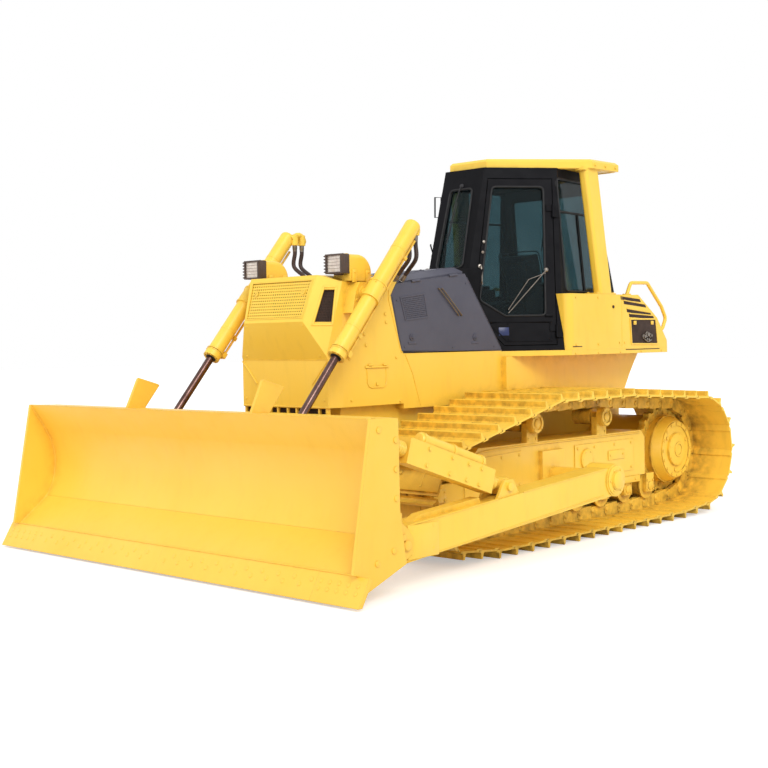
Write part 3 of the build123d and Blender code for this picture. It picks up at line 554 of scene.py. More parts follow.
# ---------------------------------------------------------------- floor, light and camera
def white_to_camera(tree, strength):
    """A factor that is 1 for camera, glossy and transmission rays."""
    path = tree.nodes.new("ShaderNodeLightPath")
    seen = path.outputs["Is Camera Ray"]
    for other in ("Is Glossy Ray", "Is Transmission Ray"):
        node = tree.nodes.new("ShaderNodeMath")
        node.operation = "MAXIMUM"
        tree.links.new(seen, node.inputs[0])
        tree.links.new(path.outputs[other], node.inputs[1])
        seen = node.outputs[0]
    node = tree.nodes.new("ShaderNodeMapRange")
    node.inputs["To Min"].default_value = strength[0]
    node.inputs["To Max"].default_value = strength[1]
    tree.links.new(seen, node.inputs["Value"])
    return node.outputs[0]


def build_stage():
    """The plain pale floor, the white world and the lamps."""
    sheet = bmesh.new()
    half = 70
    corners = [
        sheet.verts.new((x * half, y * half, -0.002)) for x,
        y in ((-1, -1), (1, -1), (1, 1), (-1, 1))
    ]
    sheet.faces.new(corners)
    data = bpy.data.meshes.new("floor")
    sheet.to_mesh(data)
    sheet.free()
    floor = bpy.data.objects.new("floor", data)
    bpy.context.scene.collection.objects.link(floor)
    material = bpy.data.materials.new("pale_floor")
    material.use_nodes = True
    shader = material.node_tree.nodes["Principled BSDF"]
    shader.inputs["Base Color"].default_value = (0.8, 0.8, 0.8, 1)
    shader.inputs["Roughness"].default_value = 0.9
    shader.inputs["Specular IOR Level"].default_value = 0.1
    shader.inputs["Emission Color"].default_value = (1, 1, 1, 1)
    lift = white_to_camera(material.node_tree, (0.0, 0.42))
    material.node_tree.links.new(lift, shader.inputs["Emission Strength"])
    data.materials.append(material)

    world = bpy.data.worlds.new("studio")
    bpy.context.scene.world = world
    world.use_nodes = True
    background = world.node_tree.nodes["Background"]
    background.inputs["Color"].default_value = (1, 1, 1, 1)
    world.node_tree.links.new(
        white_to_camera(world.node_tree, (0.76, 1.0)), background.inputs["Strength"]
    )

    for name, direction, strength, spread in (
        ("key", (0.55, 1.0, 0.95), 1.4, 28),
        ("front", (1.0, 0.1, 0.25), 0.55, 45),
    ):
        lamp = bpy.data.lights.new(name, "SUN")
        lamp.energy = strength
        lamp.angle = radians(spread)
        holder = bpy.data.objects.new(name, lamp)
        holder.rotation_mode = "QUATERNION"
        holder.rotation_quaternion = Vector(direction).to_track_quat("Z", "Y")
        bpy.context.scene.collection.objects.link(holder)
    bpy.context.scene.view_settings.view_transform = "Standard"


def build_camera():
    """The camera at the photograph's viewing angle."""
    yaw, pitch, roll = radians(43.183), radians(-1.929), radians(-0.947)
    ahead = Vector((-cos(yaw) * cos(pitch), -sin(yaw) * cos(pitch), sin(pitch)))
    level = ahead.cross(Vector((0, 0, 1))).normalized()
    rise = level.cross(ahead)
    right = cos(roll) * level + sin(roll) * rise
    up = cos(roll) * rise - sin(roll) * level
    data = bpy.data.cameras.new("camera")
    data.sensor_width = 36
    data.lens = 60.43
    data.clip_end = 300
    camera = bpy.data.objects.new("camera", data)
    camera.matrix_world = frame_of(right, up, -ahead, (8.103, 7.257, 1.592))
    bpy.context.scene.collection.objects.link(camera)
    bpy.context.scene.camera = camera


build_stage()
build_camera()

# ---------------------------------------------------------------- tracks
TRACK_Y = 1.025
SHOE_HALF = 0.475
LINK_COUNT = 44
SPROCKET = (-2.202, 0.565, 0.408)
IDLER = (1.075, 0.461, 0.301)
ROLLER_Z = 0.27
CARRIER_Z = 0.925
FRAME_FACE = TRACK_Y + 0.165
ROLLERS = [-1.8 + i * 2.5 / 7 for i in range(8)]
CARRIERS = (-1.02, -0.05)
CARRIER_WHEELS = [(x, CARRIER_Z, 0.115) for x in CARRIERS]
WHEELS = [SPROCKET] + CARRIER_WHEELS + [IDLER] + [(x, ROLLER_Z, 0.145) for x in (0.7, -1.8)]


def run_angle(wheel, following):
    """Direction of the outward normal of the straight run between two wheels."""
    dx, dz = following[0] - wheel[0], following[1] - wheel[1]
    return atan2(dz, dx) + acos((wheel[2] - following[2]) / hypot(dx, dz))


def loop_stretches():
    """The chain's pitch line: each wheel's arc and the straight run after it."""
    stretches = []
    for index, wheel in enumerate(WHEELS):
        following = WHEELS[(index + 1) % len(WHEELS)]
        angle_in, angle_out = run_angle(WHEELS[index - 1], wheel), run_angle(wheel, following)
        run = hypot(following[0] - wheel[0], following[1] - wheel[1])
        straight = (run**2 - (wheel[2] - following[2]) ** 2) ** 0.5
        stretches.append((wheel[2] * ((angle_in - angle_out) % (2 * pi)), wheel, angle_in, False))
        stretches.append((straight, wheel, angle_out, True))
    return stretches


STRETCHES = loop_stretches()
LOOP = sum(s[0] for s in STRETCHES)
PITCH = LOOP / LINK_COUNT


def link_place(distance, y):
    """The frame at a distance along the pitch line: X along it, Z outwards."""
    distance %= LOOP
    for length, (x, z, radius), angle, straight in STRETCHES:
        if distance <= length:
            break
        distance -= length
    if not straight:
        angle -= distance / radius
        distance = 0
    along, outward = Vector((sin(angle), 0, -cos(angle))), Vector((cos(angle), 0, sin(angle)))
    spot = Vector((x, y, z)) + outward * radius + along * distance
    return frame_of(along, outward.cross(along), outward, spot)


def shoe_parts(shape, place):
    """One shoe with its grouser, its two links, bushing and bolts, put at its place."""
    half = PITCH / 2
    start = len(shape.mesh.verts)
    sole = [
        (-half + 0.002, 0.060), (half - 0.030, 0.060), (half - 0.022, 0.050), (half + 0.034, 0.050),
        (half + 0.034, 0.057), (half + 0.010, 0.0575), (half + 0.010, 0.069), (half - 0.004, 0.075),
        (-half + 0.062, 0.075), (-half + 0.050, 0.084), (-half + 0.045, 0.122),
        (-half + 0.028, 0.125), (-half + 0.020, 0.084), (-half + 0.010, 0.075),
        (-half - 0.004, 0.077),
    ]
    shape.prism(at_y(-SHOE_HALF, sole), (0, 2 * SHOE_HALF, 0))
    rear_link = [
        (-half - 0.036, 0.034), (-half - 0.040, 0.0), (-half - 0.026, -0.034), (0.02, -0.045),
        (half - 0.036, -0.045), (half - 0.030, 0.036), (half - 0.02, 0.060), (-half + 0.01, 0.060),
    ]
    front_link = [
        (-0.07, -0.045), (half - 0.04, -0.045), (half + 0.026, -0.034), (half + 0.040, 0.0),
        (half + 0.036, 0.034), (half - 0.02, 0.060), (-half + 0.05, 0.060), (-half + 0.03, 0.036),
    ]
    for side in (-1, 1):
        shape.prism(at_y(side * 0.066, rear_link), (0, side * 0.021, 0))
        shape.prism(at_y(side * 0.045, front_link), (0, side * 0.021, 0))
        shape.rod((-half, side * 0.060, 0), (-half, side * 0.094, 0), 0.021, 10)
        shape.bolts([(along, side * 0.094, 0.075) for along in (-0.012, 0.058)], UP, 0.013)
    shape.rod((-half, -0.045, 0), (-half, 0.045, 0), 0.028, 12)
    for side in (-1, 1):
        shape.box((-half + 0.062, side * 0.30, 0.0745), (half - 0.02, side * 0.315, 0.0775))
    made = list(shape.mesh.verts)[start:]
    bmesh.ops.transform(shape.mesh, matrix=place, verts=made)


for name, side in SIDES:
    chain = Shape(name)
    for index in range(LINK_COUNT):
        shoe_parts(chain, link_place((index + 0.35) * PITCH, TRACK_Y))
    made = chain.piece("track_chain_SIDE", track_coat)
    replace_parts(made, f"track_{name}")

# ---------------------------------------------------------------- running gear
for name, side in SIDES:
    gear = Shape(name)
    for x in ROLLERS:
        for out in (1, -1):
            y = TRACK_Y + out * 0.151
            gear.turned(
                (x, y, ROLLER_Z), (0, out, 0), [(0, 0.036), (0.004, 0.036), (0.008, 0.03)], 18
            )
            corners = [(x + dx, ROLLER_Z + dz) for dz in (-0.03, 0.05) for dx in (-0.045, 0.045)]
            gear.bolts(at_y(y, corners), (0, out, 0), 0.009)
    for x in CARRIERS:
        hub_spot = (x, TRACK_Y + 0.215, CARRIER_Z)
        gear.ring(hub_spot, LEFT, 0.052, 0.074, 0.008)
        gear.turned(hub_spot, LEFT, [(0, 0.034), (0.006, 0.034), (0.010, 0.026)], 20)
        gear.bolts(circle((x, TRACK_Y + 0.223, CARRIER_Z), 0.063, 4, pi / 4), LEFT, 0.007)
        gear.bolts(
            [(x + dx, FRAME_FACE, z) for dx in (-0.05, 0.05) for z in (0.86, 0.80)], LEFT, 0.009
        )
    gear.piece("roller_fittings_SIDE", track_coat)

    hub = Shape(name)
    centre = Vector((SPROCKET[0], 1.2, SPROCKET[1]))
    dish = [(0, 0.148), (0.006, 0.146), (0.012, 0.13), (0.014, 0.09)]
    hub.ring(centre, LEFT, 0.214, 0.25, 0.01, 48)
    hub.turned(centre + Vector((0, 0.014, 0)), LEFT, dish, 40)
    hub.ring(centre + Vector((0, 0.026, 0)), LEFT, 0.05, 0.066, 0.008, 28)
    hub.bolts(circle(centre + Vector((0, 0.01, 0)), 0.232, 16), LEFT, 0.010)
    hub.bolts(circle(centre + Vector((0, 0.021, 0)), 0.13, 8, 0.075 * pi), LEFT, 0.008)
    for spot in circle(centre, 0.185, 3, radians(35)):
        hub.turned(spot, LEFT, [(0, 0.018), (0.010, 0.018), (0.012, 0.012)], 6)
    hub.ring(centre + Vector((0, -0.095, 0)), LEFT, 0.298, 0.306, 0.02, 56)
    rim = Vector((SPROCKET[0], TRACK_Y + 0.03, SPROCKET[1]))
    hub.bolts(circle(rim, 0.33, 25, pi / 25), LEFT, 0.011)
    for spot in circle(rim, 0.345, 5, 0.2):
        hub.box(spot + Vector((-0.004, 0, -0.02)), spot + Vector((0.004, 0.002, 0.02)))
    hub.piece("hub_fittings_SIDE", track_coat)

    beam = Shape(name)
    face = FRAME_FACE
    plate = face + 0.008
    beam.prism(at_y(face, ((0.60, 0.45), (0.60, 0.70), (0.10, 0.72), (0.10, 0.43))), (0, 0.008, 0))
    beam.prism(
        at_y(face, ((-0.62, 0.44), (-0.62, 0.71), (-1.5, 0.71), (-1.5, 0.44))), (0, 0.008, 0)
    )
    spots = ((0.57, 0.48), (0.57, 0.67), (0.13, 0.46), (0.13, 0.69), (0.35, 0.465), (0.35, 0.685))
    beam.bolts(at_y(plate, spots), LEFT, 0.011)
    beam.bolts(
        [(x, plate, z) for x in (-0.66, -0.9, -1.2, -1.46) for z in (0.47, 0.68)], LEFT, 0.011
    )
    beam.turned(
        (-0.78, plate, 0.585), LEFT, [(0, 0.085), (0.014, 0.085), (0.02, 0.076), (0.02, 0.05)], 36
    )
    beam.bolts(circle((-0.78, face + 0.022, 0.585), 0.066, 6), LEFT, 0.008)
    beam.box((-1.35, plate, 0.55), (-1.1, face + 0.016, 0.63), bevel=0.003)
    beam.bolts(at_y(face + 0.016, ((-1.32, 0.59), (-1.13, 0.59))), LEFT, 0.008)
    beam.box((-1.60, face, 0.33), (0.70, face + 0.012, 0.386), bevel=0.003)
    beam.bolts([(-1.52 + k * 0.19, face + 0.012, 0.36) for k in range(12)], LEFT, 0.010)
    beam.tube(
        curve_points(at_y(face + 0.006, ((0.74, 0.72), (0.3, 0.755), (-1.6, 0.755)))), 0.006, 8
    )
    beam.box((0.80, TRACK_Y - 0.06, 0.37), (0.93, TRACK_Y + 0.06, 0.55), bevel=0.01)
    beam.rod((0.78, TRACK_Y, IDLER[1]), (1.0, TRACK_Y, IDLER[1]), 0.035)
    for out in (-1, 1):
        y = TRACK_Y + out * 0.161
        beam.box(
            (IDLER[0] - 0.07, y - 0.006, 0.41), (IDLER[0] + 0.07, y + 0.014 * out, 0.51),
            bevel=0.004
        )
        corners = [(IDLER[0] + dx, IDLER[1] + dz) for dz in (-0.03, 0.03) for dx in (-0.05, 0.05)]
        beam.bolts(at_y(y + 0.014 * out, corners), (0, out, 0), 0.009)
    beam.piece("track_frame_fittings_SIDE", machine)

# ---------------------------------------------------------------- blade
LIFT_Y, BRACE_Y = 0.7, 1.7
YOKE, EYE = Vector((1.210, LIFT_Y, 1.950)), Vector((2.165, LIFT_Y, 0.840))
BRACE_REAR, BRACE_FRONT = Vector((1.020, BRACE_Y, 0.566)), Vector((2.185, BRACE_Y, 0.945))
EDGE_TOP, EDGE_TIP = Vector((2.640, 0, 0.185)), Vector((2.740, 0, 0.015))
EDGE_OUT = Vector((0.862, 0, 0.507))
bolts = Shape()
for row, spread in ((0.30, 0.0), (0.52, 0.06)):
    spot = EDGE_TOP.lerp(EDGE_TIP, row)
    for k in range(-10, 11):
        y = k * 0.152 + (spread if k >= 0 else -spread)
        if 0.02 < abs(y) < 1.54:
            bolts.turned(
                spot + Vector((0, y, 0)), EDGE_OUT,
                [(-0.002, 0.017), (0.002, 0.016), (0.003, 0.011)], 14
            )
for side in (-1, 1):
    for y in (1.60, 1.68, 1.76, 1.84, 1.92):
        for row in (0.30, 0.55):
            spot = EDGE_TOP.lerp(EDGE_TIP, row) + Vector((0, side * y, 0))
            bolts.turned(spot, EDGE_OUT, [(-0.002, 0.016), (0.002, 0.015), (0.003, 0.010)], 14)
bolts.piece("cutting_edge_bolts", blade_coat, "blade")

seams = Shape()
FACE_LINE = [
    (2.515, 1.125), (2.374, 0.912), (2.316, 0.78), (2.301, 0.654), (2.325, 0.50), (2.389, 0.385)
]
FACE_LINE += [(2.640, 0.185)]
for side in (-1, 1):
    line = [(x + 0.002, side * 1.872, z - 0.002) for x, z in FACE_LINE]
    seams.tube(curve_points(line, 6), 0.007, 8)
for x, z, radius in ((2.639, 0.189, 0.006), (2.386, 0.388, 0.003)):
    seams.tube([(x, y, z) for y in (-1.87, -0.9, 0, 0.9, 1.87)], radius, 8)
seams.box((2.478, -1.9, 1.118), (2.514, 1.9, 1.1255), bevel=0.003)
seams.piece("blade_seams", blade_coat, "blade")

back = Shape()
for y in (0.35, 1.05, 1.45):
    for side in (-1, 1):
        for off in (-0.0145, 0.0145):
            back.tube([(2.2405, side * y + off, z) for z in (0.53, 0.7, 0.92)], 0.005, 6)
            back.tube([(x, side * y + off, 0.522) for x in (2.245, 2.29, 2.32)], 0.005, 6)
for side in (-1, 1):
    for x, z in (
        (2.30, 0.62), (2.30, 0.80), (2.30, 0.98), (2.45, 1.05), (2.33, 0.30), (2.48, 0.24)
    ):
        back.turned(
            (x, side * 1.899, z), (0, side, 0), [(0, 0.02), (0.006, 0.02), (0.008, 0.014)], 12
        )
    back.box((2.29, side * 1.80, 0.93), (2.34, side * 1.873, 0.99), bevel=0.004)
    for off in (-1, 1):
        cap = side * LIFT_Y + off * 0.103
        back.turned(
            (EYE.x, cap, EYE.z), (0, off, 0), [(0, 0.036), (0.006, 0.034), (0.008, 0.02)], 24
        )
        back.bolt((EYE.x, cap + off * 0.008, EYE.z), (0, off, 0), 0.010)
    for off, y, brace_y in ((-1, 1.566, 1.612), (1, 1.834, 1.788)):
        out = (0, side * off, 0)
        near, far = side * (y - 0.004 * off), side * (y + 0.004 * off)
        back.turned((2.13, side * y, 0.30), out, [(0, 0.032), (0.005, 0.032), (0.008, 0.022)], 24)
        back.box((2.145, near, 0.335), (2.20, far, 0.375), bevel=0.002)
        back.bolt((2.185, far, 0.355), out, 0.009)
        back.turned(
            (BRACE_FRONT.x, side * brace_y, BRACE_FRONT.z), out,
            [(0, 0.03), (0.012, 0.03), (0.015, 0.02)], 20
        )
for side in (-1, 1):
    plate = at_y(side * LIFT_Y, ((2.318, 1.332), (2.138, 1.278), (2.282, 1.10), (2.432, 1.10)))
    back.tube(plate[:2], 0.0135, 8)
back.piece("blade_back_fittings", blade_coat, "blade")

# ---------------------------------------------------------------- push arms and brace
ARM_FACE = 1.8
PIVOT_X, PIVOT_Z = -0.28, 0.495
ARM_SEAMS = (
    ((-0.13, 0.392), (2.1, 0.186)), ((-0.13, 0.588), (0.88, 0.514)), ((1.17, 0.493), (2.1, 0.417))
)
for name, side in SIDES:
    arm = Shape(name)
    arm.bolts(
        at_y(ARM_FACE, ((2.06, 0.395), (2.06, 0.235), (1.85, 0.40), (1.85, 0.25))), LEFT, 0.014
    )
    arm.box((1.80, ARM_FACE, 0.20), (2.10, ARM_FACE + 0.009, 0.418), bevel=0.003)
    arm.prism(
        at_y(1.66, ((1.28, 0.475), (1.30, 0.515), (1.90, 0.465), (1.98, 0.425))), (0, 0.08, 0)
    )
    arm.turned(
        (PIVOT_X, ARM_FACE + 0.010, PIVOT_Z), LEFT, [(0, 0.112), (0.006, 0.112), (0.010, 0.104)], 40
    )
    arm.turned(
        (PIVOT_X, ARM_FACE + 0.030, PIVOT_Z), LEFT, [(0, 0.066), (0.006, 0.066), (0.012, 0.056)], 32
    )
    arm.bolts(circle((PIVOT_X, ARM_FACE + 0.020, PIVOT_Z), 0.088, 6), LEFT, 0.009)
    for ends in ARM_SEAMS:
        arm.tube(even_points(*at_y(ARM_FACE + 0.001, ends)), 0.0045, 8)
    for y, out in ((1.793, LEFT), (1.607, RIGHT)):
        arm.turned(
            (BRACE_REAR.x, y, BRACE_REAR.z), out, [(0, 0.03), (0.010, 0.03), (0.013, 0.02)], 20
        )
    arm.piece("push_arm_fittings_SIDE", machine, "blade")

RUN = (BRACE_FRONT - BRACE_REAR).normalized()
OVER = Vector((-RUN.z, 0, RUN.x))
brace = Shape()
for t in (0.30, 0.44, 0.62, 0.86):
    for rise in (-0.055, 0.055):
        for out in (1, -1):
            brace.bolt(
                BRACE_REAR + RUN * t + OVER * rise + Vector((0, out * 0.06, 0)), (0, out, 0), 0.013
            )
brace.rod(BRACE_REAR + RUN * 0.24 + OVER * 0.105, BRACE_REAR + RUN * 0.92 + OVER * 0.105, 0.046, 28)
for t in (0.27, 0.58, 0.89):
    middle = BRACE_REAR + RUN * t + OVER * 0.105
    brace.turned(middle - RUN * 0.014, RUN, [(0, 0.052), (0.028, 0.052)], 28)
brace.rod(BRACE_REAR + RUN * 0.08, BRACE_REAR + RUN * 0.16, 0.05, 24)
brace.rod(BRACE_FRONT - RUN * 0.17, BRACE_FRONT - RUN * 0.09, 0.05, 24)
for t in (0.1, 0.12, 0.14, 1.07, 1.09, 1.11):
    brace.turned(BRACE_REAR + RUN * t, RUN, [(-0.004, 0.05), (0, 0.054), (0.004, 0.05)], 24)
brace.piece("brace_fittings", machine, "blade")

tilt = Shape()
ORIGIN = Vector((BRACE_REAR.x, -BRACE_Y, BRACE_REAR.z))
tilt.bolts(circle(ORIGIN + RUN * 0.775, 0.072, 8, 0, OVER, LEFT), RUN, 0.009)
for t in (0.66, 0.18):
    tilt.block(ORIGIN + RUN * t + OVER * 0.075, OVER, 0.035, 0.03, 0.05, 0.005)
line = ((0.66, 0.12), (0.62, 0.112), (0.4, 0.105), (0.22, 0.112), (0.18, 0.12))
tilt.tube([ORIGIN + RUN * t + OVER * r for t, r in line], 0.009, 10)
for t in (0.3, 0.52):
    tilt.turned(
        ORIGIN + RUN * t, RUN, [(-0.012, 0.084), (-0.012, 0.087), (0.012, 0.087), (0.012, 0.084)],
        36
    )
tilt.piece("tilt_cylinder_fittings", machine, "blade")

# ---------------------------------------------------------------- lift cylinders
LIFT = (EYE - YOKE).normalized()
ACROSS = Vector((0, 1, 0))
PORT_Y = 0.638
PORTS = ((0.670, 2.395), (0.748, 2.395))
UNDER = ACROSS.cross(LIFT)
for name, side in SIDES:
    ram = Shape(name)
    gland = YOKE + LIFT * 0.620
    for spot in circle(gland, 0.056, 8, 0, ACROSS, UNDER):
        ram.bolt(spot, LIFT, 0.0075, 0.006)
    for t in (0.555, 0.57):
        ram.ring(YOKE + LIFT * (t - 0.004), LIFT, 0.066, 0.070, 0.008, 36)
    for t in (-0.07, 0.07):
        ram.ring(YOKE + LIFT * (t - 0.006), LIFT, 0.061, 0.0745, 0.012, 36)
    ram.block(YOKE + LIFT * 0.53 + UNDER * 0.06, UNDER, 0.03, 0.025, 0.04, 0.004)
    line = [
        YOKE + LIFT * t + UNDER * 0.09 for t in (0.53, 0.45, 0.25, 0.09, -0.1, -0.3, -0.5, -0.6)
    ]
    ram.tube(line, 0.010, 10)
    for t in (0.35, -0.42):
        spot = YOKE + LIFT * t
        ram.ring(spot - LIFT * 0.009, LIFT, 0.061, 0.0635, 0.018, 32)
        ram.block(spot + UNDER * 0.062, UNDER, 0.014, 0.016, 0.044, 0.003)
    for rim in circle((0, 0, 0), 1, 6, 0, ACROSS, UNDER):
        ram.bolt(YOKE - LIFT * 0.05 + rim * 0.0705, rim, 0.006)
    for x, z in PORTS:
        ram.turned(
            (x, PORT_Y, z), UP, [(-0.001, 0.024), (0.004, 0.033), (0.014, 0.033), (0.018, 0.030)], 6
        )
        ram.turned(
            (x, PORT_Y, z + 0.082), UP, [(-0.002, 0.028), (0.005, 0.026), (0.009, 0.016)], 16
        )
    elbow = [YOKE - LIFT * 0.66 + Vector((0, -0.05, 0)), (0.72, PORT_Y, 2.478)]
    elbow += [
        (PORTS[0][0] + dx, PORT_Y, z) for dx, z in ((0.01, 2.474), (-0.02, 2.44), (-0.012, 2.41))
    ]
    ram.tube(curve_points(elbow, 6), 0.024, 14)
    ram.piece("lift_cylinder_fittings_SIDE", machine, "lift_barrel_SIDE")

    wiper = Shape(name)
    wiper.ring(gland + LIFT * 0.0005, LIFT, 0.0306, 0.041, 0.007, 36)
    wiper.piece("rod_wiper_SIDE", seal, "lift_barrel_SIDE")

    rod_end = Shape(name)
    rod_end.ring(EYE - LIFT * 0.062, LIFT, 0.0295, 0.036, 0.010, 28)
    rod_end.block(EYE + LIFT * 0.05, LIFT, 0.012, 0.012, 0.010, 0.002)
    rod_end.piece("rod_eye_fittings_SIDE", steel, "lift_rod_SIDE")

    pin = Shape(name)
    pin.turned(
        (YOKE.x, 0.5955, YOKE.z), LEFT, [(-0.002, 0.052), (0.004, 0.052), (0.007, 0.046)], 32
    )
    spots = ((-0.0648, -0.06), (0.072, -0.054), (-0.072, 0.054))
    pin.bolts(at_y(0.595, [(YOKE.x + dx, YOKE.z + dz) for dx, dz in spots]), LEFT, 0.010)
    pin.piece("yoke_fittings_SIDE", machine)

    for index, (x, z) in enumerate(PORTS):
        low = Vector((x - 0.014, 0.478, 2.064))
        lean = Vector((0.0, 0.05, 0.05))
        top = Vector((x, PORT_Y, z + 0.004))
        path = [top, top - Vector((0, 0, 0.07)), Vector((x + 0.006, PORT_Y + 0.008, 2.22))]
        path += [low + lean * 1.5, low + lean * 0.6, low]
        hose = Shape(name)
        hose.tube(curve_points(path, 8), 0.017, 16)
        made = hose.piece(f"lift_hose_SIDE_{index + 1}", rubber)
        made.parent = None
        made["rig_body"] = ""
        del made["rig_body"]
        start, end = (low.x, side * low.y, low.z), (top.x, side * top.y, top.z - 0.03)
        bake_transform(made)
        if index == 0:
            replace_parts(made, f"lift_hoses_{name}")
    crimp = [(0, 0.020), (0.03, 0.020), (0.034, 0.018), (0.05, 0.018)]
    ends = Shape(name)
    for x, z in PORTS:
        ends.turned((x, PORT_Y, z), DOWN, crimp, 18)
    ends.piece("hose_crimps_SIDE", steel, "lift_barrel_SIDE")
    feet = Shape(name)
    for x, z in PORTS:
        foot = (x - 0.014, 0.478, 2.064)
        feet.turned(foot, (0, 0.7, 0.7), [(-0.03, 0.020)] + crimp[1:], 18)
        feet.turned(foot, (0, 0.7, 0.7), [(-0.03, 0.027), (-0.006, 0.027), (-0.004, 0.024)], 6)
    feet.piece("hose_feet_SIDE", steel)


# ---------------------------------------------------------------- bodywork
def perforated(shape, corners, cell, open_share, thickness):
    """A sheet with rows of eight-sided holes; its corners run anticlockwise from outside."""
    a, b, c, d = [Vector(corner) for corner in corners]
    out = (b - a).cross(d - a).normalized() * thickness
    columns, rows = max(1, round((b - a).length / cell)), max(1, round((d - a).length / cell))

    def spot(s, t):
        """A point of the sheet, from its shares across and up."""
        return a.lerp(b, s / columns).lerp(d.lerp(c, s / columns), t / rows)

    ring_steps = ((-1, -1), (0, -1), (1, -1), (1, 0), (1, 1), (0, 1), (-1, 1), (-1, 0))
    for i in range(columns):
        for j in range(rows):
            outer, inner = [], []
            for k, (p, q) in enumerate(ring_steps):
                angle = -3 * pi / 4 + k * pi / 4
                reach = open_share / 2
                outer.append(spot(i + 0.5 + p / 2, j + 0.5 + q / 2))
                inner.append(spot(i + 0.5 + cos(angle) * reach, j + 0.5 + sin(angle) * reach))
            front = [shape.mesh.verts.new(p + out) for p in outer + inner]
            rear = [shape.mesh.verts.new(p) for p in outer + inner]
            for k in range(8):
                m = (k + 1) % 8
                shape.mesh.faces.new((front[k], front[m], front[8 + m], front[8 + k]))
                shape.mesh.faces.new((rear[m], rear[k], rear[8 + k], rear[8 + m]))
                shape.mesh.faces.new((front[8 + k], front[8 + m], rear[8 + m], rear[8 + k]))
    return shape


def outline_strip(shape, corners, out, width, height):
    """A raised strip with mitred corners round a flat closed outline."""
    out = Vector(out).normalized()
    corners = [Vector(c) for c in corners]
    middle = sum(corners, Vector()) / len(corners)
    outer, inner = corners, []
    count = len(corners)
    for i, corner in enumerate(corners):
        back = (corners[i - 1] - corner).normalized()
        on = (corners[(i + 1) % count] - corner).normalized()
        aim = (back + on).normalized()
        if aim.dot(middle - corner) < 0:
            aim = -aim
        reach = width / max(sin(back.angle(on) / 2), 0.3)
        inner.append(corner + aim * reach)
    for i in range(count):
        j = (i + 1) % count
        shape.prism([outer[i], outer[j], inner[j], inner[i]], out * height)
    return shape


HULL_FACE = 0.5
GRILLE_OUT = Vector((0.948, 0, 0.317)).normalized()
GRILLE_UP = Vector((-0.317, 0, 0.948)).normalized()


def on_grille(across, up, out=0.0):
    """A point given in the plane of the mask's upper front."""
    return Vector((1.472, across, 2.079)) + GRILLE_UP * up + GRILLE_OUT * out


GRILLE_CORNERS = [(-0.3155, -0.3305), (0.3155, -0.3305), (0.3395, -0.0255), (-0.3395, -0.0255)]
grille = Shape()
perforated(grille, [on_grille(a, u, -0.012) for a, u in GRILLE_CORNERS], 0.0235, 0.56, 0.006)
outline_strip(
    grille, [on_grille(a, u, -0.006) for a, u in GRILLE_CORNERS], GRILLE_OUT, 0.009, 0.008
)
for a in (-0.262, 0.262):
    grille.ring(on_grille(a, -0.120, -0.006), GRILLE_OUT, 0.011, 0.021, 0.008, 20)
    grille.turned(
        on_grille(a, -0.120, -0.006), GRILLE_OUT, [(0, 0.010), (0.005, 0.010), (0.007, 0.006)], 16
    )
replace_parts(grille.piece("grille_mesh", machine), "radiator_grille")
core = Shape()
for k in range(36):
    y = -0.35 + k * 0.02
    core.box((1.235, y - 0.003, 1.62), (1.26, y + 0.003, 1.975))
core.box((1.222, -0.37, 1.60), (1.236, 0.37, 1.978))
core.piece("radiator_core", dark_mesh_and_shade, slot="engine_casting")

FRONT_OUT = Vector((0.935, 0, -0.354)).normalized()
FRONT_DOWN = Vector((-0.354, 0, -0.935)).normalized()
MASK_NOSE = Vector((1.585, 0, 1.741))
RIVET = [(-0.001, 0.010), (0.003, 0.009), (0.005, 0.006)]
LARGE_BOLTS = (
    (1.145, 1.734), (1.114, 1.644), (1.095, 1.561), (1.021, 1.880), (0.879, 1.795), (0.869, 1.734)
)
mask = Shape()
for side in (-1, 1):
    out = (0, side, 0)
    face = side * HULL_FACE
    for t in (0.03, 0.27):
        spot = MASK_NOSE + FRONT_DOWN * t + Vector((0, side * (0.30 + t * 0.4), 0))
        mask.turned(spot, FRONT_OUT, RIVET, 12)
    for z in (1.41, 1.16):
        mask.turned((1.48, side * 0.44, z), AHEAD, RIVET, 12)
    mask.tube(
        [(1.481, side * 0.474, 1.446), (1.481, side * 0.39, 1.36), (1.481, side * 0.31, 1.273)],
        0.006, 8
    )
    mask.bolts(at_y(face, LARGE_BOLTS), out, 0.012)
    mask.bolts(at_y(face, ((0.76, 1.46), (1.28, 1.46), (1.26, 1.15), (0.72, 1.12))), out, 0.010)
    mask.tube(at_y(face, ((0.656, 1.482), (0.574, 1.333), (0.485, 1.077))), 0.005, 8)
    mask.tube(at_y(face, ((0.70, 1.497), (0.835, 1.90), (0.835, 1.98))), 0.005, 8)
    flap = ((1.085, 1.385), (1.085, 1.272), (1.068, 1.245), (1.04, 1.236))
    flap += ((0.92, 1.236), (0.892, 1.245), (0.875, 1.272), (0.875, 1.385))
    mask.tube(at_y(face + side * 0.001, flap), 0.006, 8)
    mask.box((0.85, face - side * 0.002, 1.385), (1.11, face + side * 0.010, 1.401), bevel=0.003)
    for x in (0.90, 1.06):
        mask.rod(
            (x - 0.02, face + side * 0.010, 1.407), (x + 0.02, face + side * 0.010, 1.407), 0.008,
            10
        )
    mask.turned((0.98, face, 1.262), out, [(0, 0.013), (0.008, 0.013), (0.010, 0.009)], 14)
    for x in (0.74, 0.86, 0.98):
        mask.box((x, side * 0.455, 2.030), (x + 0.05, side * 0.497, 2.046), bevel=0.003)
for x, z, radius in ((1.480, 1.104, 0.007), (1.479, 1.455, 0.004)):
    mask.tube([(x, y, z) for y in (-0.47, -0.2, 0.2, 0.47)], radius, 8)
mask.piece("mask_fittings", machine)

